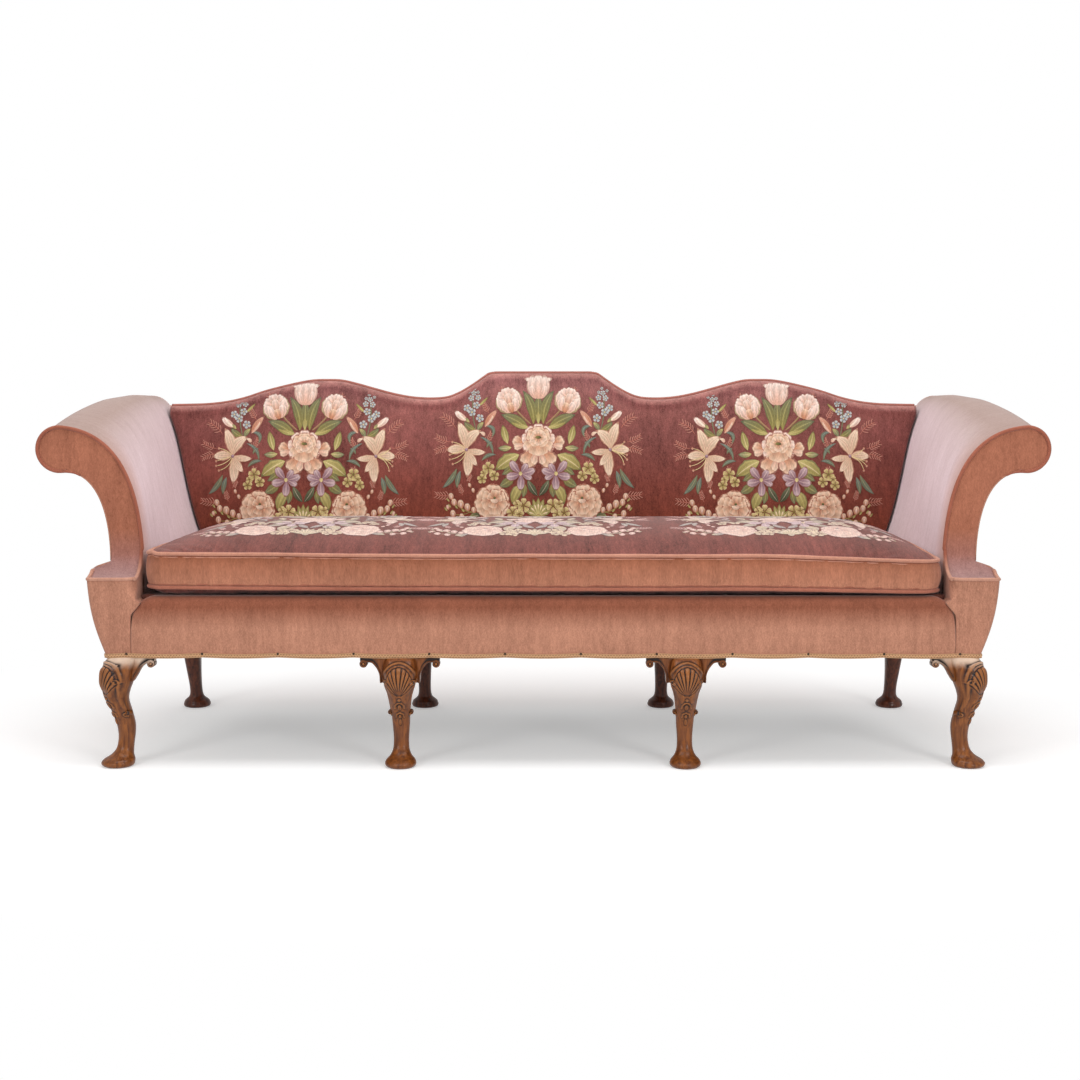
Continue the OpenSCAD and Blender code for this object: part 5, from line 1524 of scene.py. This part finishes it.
def draw_tulip(d, x, y, degrees, scale, fringed):
    """A tulip that leans by some degrees, either cup-shaped or full and fringed."""
    if fringed:
        cx, cy = turned([(0, 4)], x, y, degrees, scale)[0]
        d.ring(cx, cy, 18 * scale, 92 * scale, 7, 84 * scale, blush, shell, 0.9, degrees + 90,
               frill=0.08)
        rows = [((-12, -80), (-52, 62), 92, blush, shell, -0.12),
                ((12, -80), (54, 60), 92, blush, shell, 0.12),
                ((0, -82), (4, 72), 76, peach, shell, 0),
                ((-14, -84), (-40, 22), 74, blush, shell, -0.10),
                ((14, -84), (44, 16), 72, blush, shell, 0.10),
                ((0, -88), (0, -4), 66, peach, cream, 0)]
    else:
        rows = [((-26, -34), (-100, 56), 50, blush, shell, 0.24),
                ((26, -34), (100, 56), 50, blush, shell, -0.24),
                ((-10, -84), (-40, 84), 86, blush, shell, -0.10),
                ((10, -84), (40, 84), 86, blush, shell, 0.10),
                ((0, -88), (0, 92), 112, blush, shell, 0),
                ((-18, -86), (-42, 28), 52, blush, shell, -0.12),
                ((18, -86), (42, 28), 52, blush, shell, 0.12)]
    frill = 0.08 if fringed else 0.0
    edge = (150, 132, 96) if fringed else (176, 140, 126)
    for k, (base, tip, width, inner, outer, bend) in enumerate(rows):
        base, tip = turned([base, tip], x, y, degrees, scale)
        d.petal(base, tip, width * scale, inner, outer, 1.0 + 0.14 * k, bend, 0.5, 0.6, frill, edge=edge)


def draw_rose(d, x, y, r):
    """A globe of petals round a deep eye, over a wide lip."""
    shade = (160, 106, 90)
    d.ring(x, y, r * 0.25, r, 9, r * 0.66, peach, shell, 1.0, 90, 0.98, 0.04, edge=shade)
    for turn in (-1, 1):
        d.petal((x + turn * r * 0.2, y + r * 0.3), (x + turn * r * 0.84, y - r * 0.42), r * 0.98,
                peach, cream, 1.3, 0.18 * turn, 0.6, 0.45, 0.03, edge=shade)
    d.petal((x, y + r * 0.16), (x, y - r * 0.92), r * 1.36, peach, cream, 1.45, 0, 0.62, 0.4, 0.03,
            edge=shade)
    for k, share in enumerate((0.72, 0.55, 0.39)):
        d.ring(x, y + r * 0.2, 0, r * share, 5 + k % 2, r * share * 1.12, (peach, blush)[k % 2], cream,
               1.8 + 0.35 * k, 90 + 36 * k, 0.86, 0.03, edge=shade)
    d.petal((x - r * 0.2, y + r * 0.2), (x + r * 0.2, y + r * 0.2), r * 0.2, olive, deep_green, 3.1,
            0.0, 0.5, 0.6)


def draw_peony(d, x, y, r, side):
    """An open flower whose heart sits off its middle."""
    shade = (156, 98, 78)

    def fan(cx, cy, start, rows, lift):
        for angle, reach, width in rows:
            a = math.radians(angle if side > 0 else 180 - angle)
            d.petal((cx + r * start * math.cos(a), cy + r * start * math.sin(a)),
                    (cx + r * reach * math.cos(a), cy + r * reach * math.sin(a)), r * width, peach,
                    cream, lift, 0.0, 0.66, 0.4, 0.06, edge=shade)

    fan(x, y, 0.1, ((150, 0.98, 0.95), (95, 1.0, 1.0), (38, 1.0, 0.95), (345, 1.04, 0.95),
                    (205, 1.02, 0.95), (300, 1.0, 1.0), (252, 1.04, 1.05)), 1.0)
    hx, hy = x - side * r * 0.12, y + r * 0.16
    fan(hx, hy, 0.05, ((165, 0.66, 0.74), (20, 0.76, 0.78), (325, 0.88, 0.86), (218, 0.84, 0.8),
                       (270, 0.92, 0.95)), 1.5)
    fan(hx, hy, 0.0, ((100, 0.56, 0.7), (30, 0.48, 0.5), (170, 0.46, 0.5), (290, 0.56, 0.66)), 2.05)
    d.petal((hx - r * 0.22, hy - r * 0.02), (hx + r * 0.24, hy), r * 0.3, cream, blush, 2.6, 0.2, 0.5,
            0.5, 0.06, edge=(96, 84, 56))
    d.dot(hx, hy + r * 0.08, r * 0.08, deep_green, olive, 2.9)


def draw_lily(d, side):
    """An open lily with its stamens and a loose bud leaf."""
    x, y = side * 520, 505
    rows = [((582, 704), 84, 0.06), ((414, 640), 88, -0.18), ((664, 500), 78, 0.05),
            ((516, 310), 80, -0.06), ((378, 488), 52, 0.05), ((440, 392), 60, 0.04)]
    for k, (tip, width, bend) in enumerate(rows):
        d.petal((x, y), (side * tip[0], tip[1]), width, (208, 172, 142), cream, 1.0 + 0.16 * k,
                bend * -side, 0.5, 0.9, 0.05, vein=(150, 104, 98), edge=(164, 112, 92))
    d.petal((side * 425, 628), (side * 388, 600), 30, cream, blush, 1.9, 0.2 * side)
    for tip, bend in (((622, 560), 0.1), ((640, 436), -0.1), ((618, 404), -0.16), ((640, 470), 0.0)):
        d.stem((x, y), (side * tip[0], tip[1]), straw, 5, bend, 2.0)
        d.dot(side * tip[0], tip[1], 9, blush, peach, 2.1)
    d.dot(x, y, 13, plum, lilac, 2.3)


def draw_sprig(d, base, tip, bend):
    """A bent stem with pairs of small twigs."""
    twigs = 5
    base, tip = np.array(base, float), np.array(tip, float)
    along = tip - base
    side = np.array([along[1], -along[0]])
    d.stem(base, tip, rust, 6, bend, 0.4)
    for k in range(twigs):
        a = 0.2 + 0.75 * k / twigs
        at = base + along * a + side * bend * 4 * a * (1 - a)
        for turn in (-1, 1):
            end = at + along * 0.2 + side * turn * 0.24 * (1.1 - a * 0.5)
            d.stem(at, end, (198, 138, 120), 5, 0.1 * turn, 0.4)


def draw_side(d, s):
    """One half of the bouquet: s is -1 on the left and 1 on the right."""
    for base, tip, bend in (
            ((640, 560), (745, 610), 0.1), ((600, 660), (712, 745), -0.1), ((620, 185), (750, 195), 0.08),
            ((545, 185), (570, 262), 0.0), ((355, 765), (395, 850), 0.1), ((375, 345), (350, 430), 0.1),
            ((485, 345), (505, 280), 0.0), ((640, 520), (750, 480), -0.1), ((200, 885), (275, 950), 0.1),
            ((395, 560), (345, 640), -0.2), ((275, 230), (330, 262), 0.1)):
        draw_sprig(d, (s * base[0], base[1]), (s * tip[0], tip[1]), bend * s)
    d.stem((s * 55, 690), (s * 168, 800), (160, 128, 92), 13, 0.04 * s)
    d.leaf((s * 72, 650), (s * 268, 754), 78, olive, green, 0.7, -0.06 * s, 0.03)
    d.leaf((s * 62, 662), (s * 205, 705), 40, lime, olive, 0.9, 0.05 * s)
    d.leaf((s * 36, 690), (s * 112, 925), 72, olive, green, 0.8, -0.10 * s, 0.04)
    d.stem((s * 450, 640), (s * 470, 905), green, 9, 0.06 * s)
    d.leaf((s * 450, 645), (s * 536, 704), 46, olive, green, 0.8, 0.12 * s)
    d.leaf((s * 440, 640), (s * 395, 700), 36, green, lime, 0.8, 0.1 * s)
    d.leaf((s * 432, 815), (s * 366, 880), 20, lime, olive, 0.8)
    for x, y, r in ((470, 908, 20), (488, 872, 22), (438, 876, 22), (518, 802, 28), (450, 822, 27),
                    (482, 772, 30), (424, 730, 30), (462, 942, 12), (440, 915, 13), (500, 925, 12)):
        d.blossom(s * x, y, r, 5, (150, 158, 162), (206, 208, 202), straw, 1.1, 18 * s + x)
    d.leaf((s * 500, 700), (s * 540, 735), 26, lime, green, 0.9)
    d.petal((s * 515, 712), (s * 607, 782), 52, blush, shell, 1.0, 0.04 * s, 0.5, 0.6, vein=peach)
    d.petal((s * 515, 712), (s * 590, 788), 26, cream, shell, 1.25, 0.1 * s, 0.5, 0.7)
    d.petal((s * 385, 668), (s * 298, 788), 52, peach, blush, 1.0, 0.05 * s, 0.45, 0.75,
            vein=(186, 120, 108))
    d.petal((s * 388, 668), (s * 322, 770), 24, blush, cream, 1.25, -0.08 * s, 0.45, 0.8)
    d.leaf((s * 392, 676), (s * 338, 588), 28, teal, green, 0.8, 0.42 * s, vein=sky)
    d.leaf((s * 420, 596), (s * 328, 470), 26, teal, green, 0.8, 0.18 * s, vein=sky)
    d.leaf((s * 408, 428), (s * 306, 470), 28, green, teal, 0.8, 0.16 * s, vein=sky)
    d.leaf((s * 372, 520), (s * 330, 560), 20, green, teal, 0.8, 0.2 * s)
    d.leaf((s * 222, 548), (s * 258, 682), 54, lime, olive, 0.9, 0.02 * s, 0.05, cream)
    d.leaf((s * 195, 522), (s * 292, 518), 44, lime, green, 0.9, 0.05 * s, 0.05, cream)
    d.leaf((s * 140, 470), (s * 308, 362), 100, lime, olive, 0.8, -0.05 * s, 0.09, cream)
    d.leaf((s * 170, 400), (s * 262, 330), 50, olive, green, 0.75, 0.05 * s, 0.06)
    d.leaf((s * 175, 318), (s * 282, 244), 66, olive, green, 0.7, 0.05 * s, 0.05)
    for x, y, r in ((360, 376, 46), (318, 322, 38), (406, 300, 36), (392, 342, 26)):
        d.blossom(s * x, y, r, 5, (160, 142, 84), straw, (120, 106, 56), 1.1, 50 * s)
    d.leaf((s * 118, 262), (s * 184, 122), 76, lime, olive, 0.8, -0.08 * s, 0.05)
    d.leaf((s * 96, 262), (s * 112, 168), 40, olive, green, 0.75, 0.05 * s)
    for tip, width, bend in (((200, 432), 62, 0.06), ((80, 412), 54, -0.04), ((132, 218), 62, 0.04),
                             ((236, 318), 66, 0.08), ((22, 372), 60, -0.08), ((46, 296), 52, 0.05)):
        d.petal((s * 128, 338), (s * tip[0], tip[1]), width, plum, (206, 184, 184),
                1.3 + 0.002 * tip[1], bend * s, 0.6, 0.7, 0.05, vein=(232, 212, 190))
    d.dot(s * 128, 338, 15, straw, lime, 2.8)
    d.leaf((s * 6, 182), (s * 76, 294), 50, deep_green, green, 1.2, 0.05 * s, 0.03, cream)
    d.leaf((s * 590, 372), (s * 690, 236), 40, green, teal, 0.8, 0.08 * s)
    d.leaf((s * 562, 356), (s * 586, 236), 37, teal, green, 0.8, -0.05 * s)
    d.stem((s * 430, 58), (s * 634, 175), (150, 130, 78), 7, 0.14 * s)
    d.stem((s * 470, 78), (s * 612, 50), (150, 130, 78), 6, 0.1 * s)
    for x, y, r in ((626, 176, 24), (604, 134, 26), (556, 122, 30), (508, 100, 28), (464, 80, 22),
                    (612, 54, 26), (548, 32, 24), (650, 100, 17), (494, 255, 15), (468, 218, 16)):
        d.petal((s * (x - 6), y - r), (s * (x + 5), y + r * 1.1), r * 1.7, peach, cream, 1.0,
                0.04 * s, 0.5, 0.55)
        d.petal((s * x, y - r * 0.9), (s * (x + 2), y + r * 0.6), r * 0.8, blush, shell, 1.3)
    for x, y in ((640, 140), (628, 98), (580, 90), (532, 66), (655, 75)):
        d.leaf((s * x, y), (s * (x + 22), y + 26), 14, lime, olive, 0.8)
    d.leaf((s * 415, 44), (s * 500, 18), 50, deep_green, lime, 0.9, -0.08 * s, 0.06, cream)
    draw_peony(d, s * 330, 136, 128, s)
    for x, y, r in ((186, 62, 46), (106, 112, 54), (136, 52, 36), (150, 120, 34)):
        d.blossom(s * x, y, r, 5, (172, 150, 92), (236, 216, 162), (130, 108, 58), 1.2, 36 + 20 * s)
    draw_tulip(d, s * 215, 855, -18 * s, 1.02, True)
    draw_lily(d, s)


def bouquet():
    d = Drawing()
    for s in (-1, 1):
        draw_side(d, s)
    d.leaf((0, 688), (0, 912), 64, olive, green, 1.0, 0.0, 0.03)
    d.leaf((0, 690), (0, 800), 34, lime, olive, 1.2)
    for s in (-1, 1):
        d.petal((s * 108, 556), (s * 184, 585), 84, peach, cream, 1.0, 0.05 * s, 0.62, 0.5, 0.08)
        d.petal((s * 104, 540), (s * 180, 528), 70, blush, cream, 1.15, 0.0, 0.62, 0.5, 0.08)
        d.petal((s * 36, 500), (s * 108, 396), 138, peach, cream, 1.2, 0.04 * s, 0.62, 0.45, 0.07)
        d.petal((s * 16, 480), (s * 50, 402), 78, blush, cream, 1.4, 0.0, 0.62, 0.5, 0.06)
    draw_rose(d, 0, 568, 128)
    for angle in (-66, -44, -22, 22, 44, 66, 0):
        c, s = math.sin(math.radians(angle)), math.cos(math.radians(angle))
        d.leaf((c * 12, 36 + s * 12), (c * 104, 20 + s * 150), 36, lime, olive, 1.1, 0.0, 0.05, cream)
        d.petal((c * 30, 36 + s * 40), (c * 78, 20 + s * 112), 16, straw, cream, 1.5)
    d.dot(0, 30, 22, olive, lime, 1.7)
    draw_tulip(d, 0, 955, 0, 1.0, False)
    return np.vstack(d.points), np.vstack(d.colours), d.faces


def woven(name, stretch, sheen_wash=None):
    """Wool and silk threads of many colours, woven into the velvet; sheen_wash pales them with painted
    sheen.
    """
    f = Finish(name)
    colour = f.node("Attribute", {"attribute_name": "ink"}).outputs["Color"]
    fine = f.noise(520.0, 2.0, 0.6, stretch)
    tone = f.ramp(fine, 0.34, 0.66)
    # Painted sheen: threads paled in patches toward a light colour
    if sheen_wash:
        colour = f.mix(f.scaled(f.noise(60.0, 3.0), 0.3, 0.3), colour, sheen_wash)
    shade = f.mix(tone, (0.82, 0.8, 0.8, 1), (1.12, 1.12, 1.12, 1))
    colour = f.mix(1.0, colour, shade, "MULTIPLY")
    return f.close(Base_Color=colour, Roughness=0.85, Sheen_Weight=0.15, Specular_IOR_Level=0.12,
                   Normal=f.bump(fine, 0.0006, 0.5))


bouquet_points, bouquet_colours, bouquet_faces = bouquet()
linear_ink = ((bouquet_colours / 255 + 0.055) / 1.055) ** 2.4
ink = np.column_stack([linear_ink, np.ones(len(bouquet_colours))])
back_silk = woven("back_silk", ACROSS_X)
# The seat's bouquets are paled toward pink: painted sheen on the cushion top
seat_silk = woven("seat_silk", ALONG_Y, tint(214, 192, 192))


def add_bouquet(name, points, material, body):
    obj = add_mesh(name, points, bouquet_faces)
    layer = obj.data.color_attributes.new("ink", "FLOAT_COLOR", "POINT")
    layer.data.foreach_set("color", ink.ravel())
    dress(obj, material, body)


# How far a bouquet stands off the velvet, and how much of each petal's drawn lift is kept
off_cloth = 0.0004
relief = 0.0006
taller = 1.015
foot_z = 0.537
side_foot_z = foot_z - 0.018
for word, x, z in (("left", -0.665, side_foot_z), ("middle", -0.013, foot_z),
                   ("right", 0.655, side_foot_z)):
    px = x + bouquet_points[:, 0] * thread
    pz = z + bouquet_points[:, 1] * thread * taller
    margin = 0.005 + 0.011 * smooth((np.abs(bouquet_points[:, 0]) - 280) / 100)
    limit = crest_z(np.clip(px / back_half(pz), -1, 1)) - margin
    pz = np.where(pz > limit, limit + (pz - limit) * 0.2, pz)
    py = back_surface(px, pz) - off_cloth - bouquet_points[:, 2] * relief
    add_bouquet("back_bouquet_" + word, np.column_stack([px, py, pz]), back_silk, "frame")

seat_tree = BVHTree.FromPolygons([v.co[:] for v in cushion.data.vertices],
                                 [p.vertices[:] for p in cushion.data.polygons])
for word, x in (("left", -0.575), ("middle", -0.02), ("right", 0.6)):
    points = []
    for a, b, lift in bouquet_points:
        px, py = x + a * thread, -0.29 + b * thread
        hit = seat_tree.ray_cast(Vector((px, py, 1.0)), Vector((0, 0, -1)))[0]
        points.append((px, py, (hit.z if hit else cushion_high_z) + off_cloth + lift * relief))
    add_bouquet("seat_bouquet_" + word, points, seat_silk, "cushion")

# Camera at the photograph's place
camera_data = bpy.data.cameras.new("camera")
camera_data.lens = 49.2
camera_data.sensor_width = 36
camera = bpy.data.objects.new("camera", camera_data)
camera.location = (0, -3.835, 0.825)
camera.rotation_euler = (math.radians(90 - 4.76), 0, math.radians(0.116))
scene.collection.objects.link(camera)
scene.camera = camera


def area_light(name, place, target, size, watts):
    data = bpy.data.lights.new(name, "AREA")
    data.shape = "RECTANGLE"
    data.size, data.size_y = size
    data.energy = watts
    lamp = bpy.data.objects.new(name, data)
    lamp.location = place
    lamp.rotation_euler = (Vector(target) - Vector(place)).to_track_quat("-Z", "Y").to_euler()
    scene.collection.objects.link(lamp)


area_light("overhead", (0, -0.4, 3.0), (0, 0, 0.4), (3.4, 1.8), 60)
area_light("front_left", (-2.6, -3.6, 2.0), (0, 0, 0.5), (1.2, 1.6), 36)
area_light("front_right", (2.4, -3.8, 1.9), (0, 0, 0.5), (1.2, 1.6), 48)

world = bpy.data.worlds.new("world")
scene.world = world
world.use_nodes = True
sky_tree = world.node_tree
background = sky_tree.nodes["Background"]
background.inputs["Color"].default_value = (1, 1, 1, 1)
rays = sky_tree.nodes.new("ShaderNodeLightPath")
seen = sky_tree.nodes.new("ShaderNodeMath")
seen.operation = "MAXIMUM"
level = sky_tree.nodes.new("ShaderNodeMapRange")
level.inputs["To Min"].default_value = 0.55
level.inputs["To Max"].default_value = 1.0
for source, socket in ((rays.outputs["Is Camera Ray"], seen.inputs[0]),
                       (rays.outputs["Is Transmission Ray"], seen.inputs[1]),
                       (seen.outputs[0], level.inputs["Value"]),
                       (level.outputs[0], background.inputs["Strength"])):
    sky_tree.links.new(source, socket)


def floor_finish():
    """White to the camera, with the shadow near the sofa, and a plain pale floor to the light."""
    f = Finish("floor_white")
    path = f.node("LightPath")
    seen = f.math("MAXIMUM", path.outputs["Is Camera Ray"], path.outputs["Is Glossy Ray"])
    colour = f.mix(seen, (0.8, 0.8, 0.8, 1), (1.25, 1.25, 1.25, 1))
    near = f.node("BsdfDiffuse", Color=colour)
    far = f.node("Emission", Color=(1, 1, 1, 1))
    across = f.math("DIVIDE", f.axis("X"), 1.35)
    away = f.math("SQRT", f.math("ADD", f.math("POWER", across, 2.0), f.math("POWER", f.axis("Y"), 2.0)))
    share = f.math("MULTIPLY", f.scaled(f.ramp(away, 0.85, 1.6), 0.68, 0.32), seen)
    shader = f.node("MixShader")
    for socket, value in zip(shader.inputs, (share, near.outputs[0], far.outputs[0])):
        f.tree.links.new(value, socket)
    f.tree.links.new(shader.outputs[0], f.out.inputs["Surface"])
    return f.material


floor_half = 30
floor = add_mesh("floor", [(-floor_half, -floor_half, 0), (floor_half, -floor_half, 0),
                           (floor_half, floor_half, 0), (-floor_half, floor_half, 0)], [(0, 1, 2, 3)])
floor.data.materials.append(floor_finish())
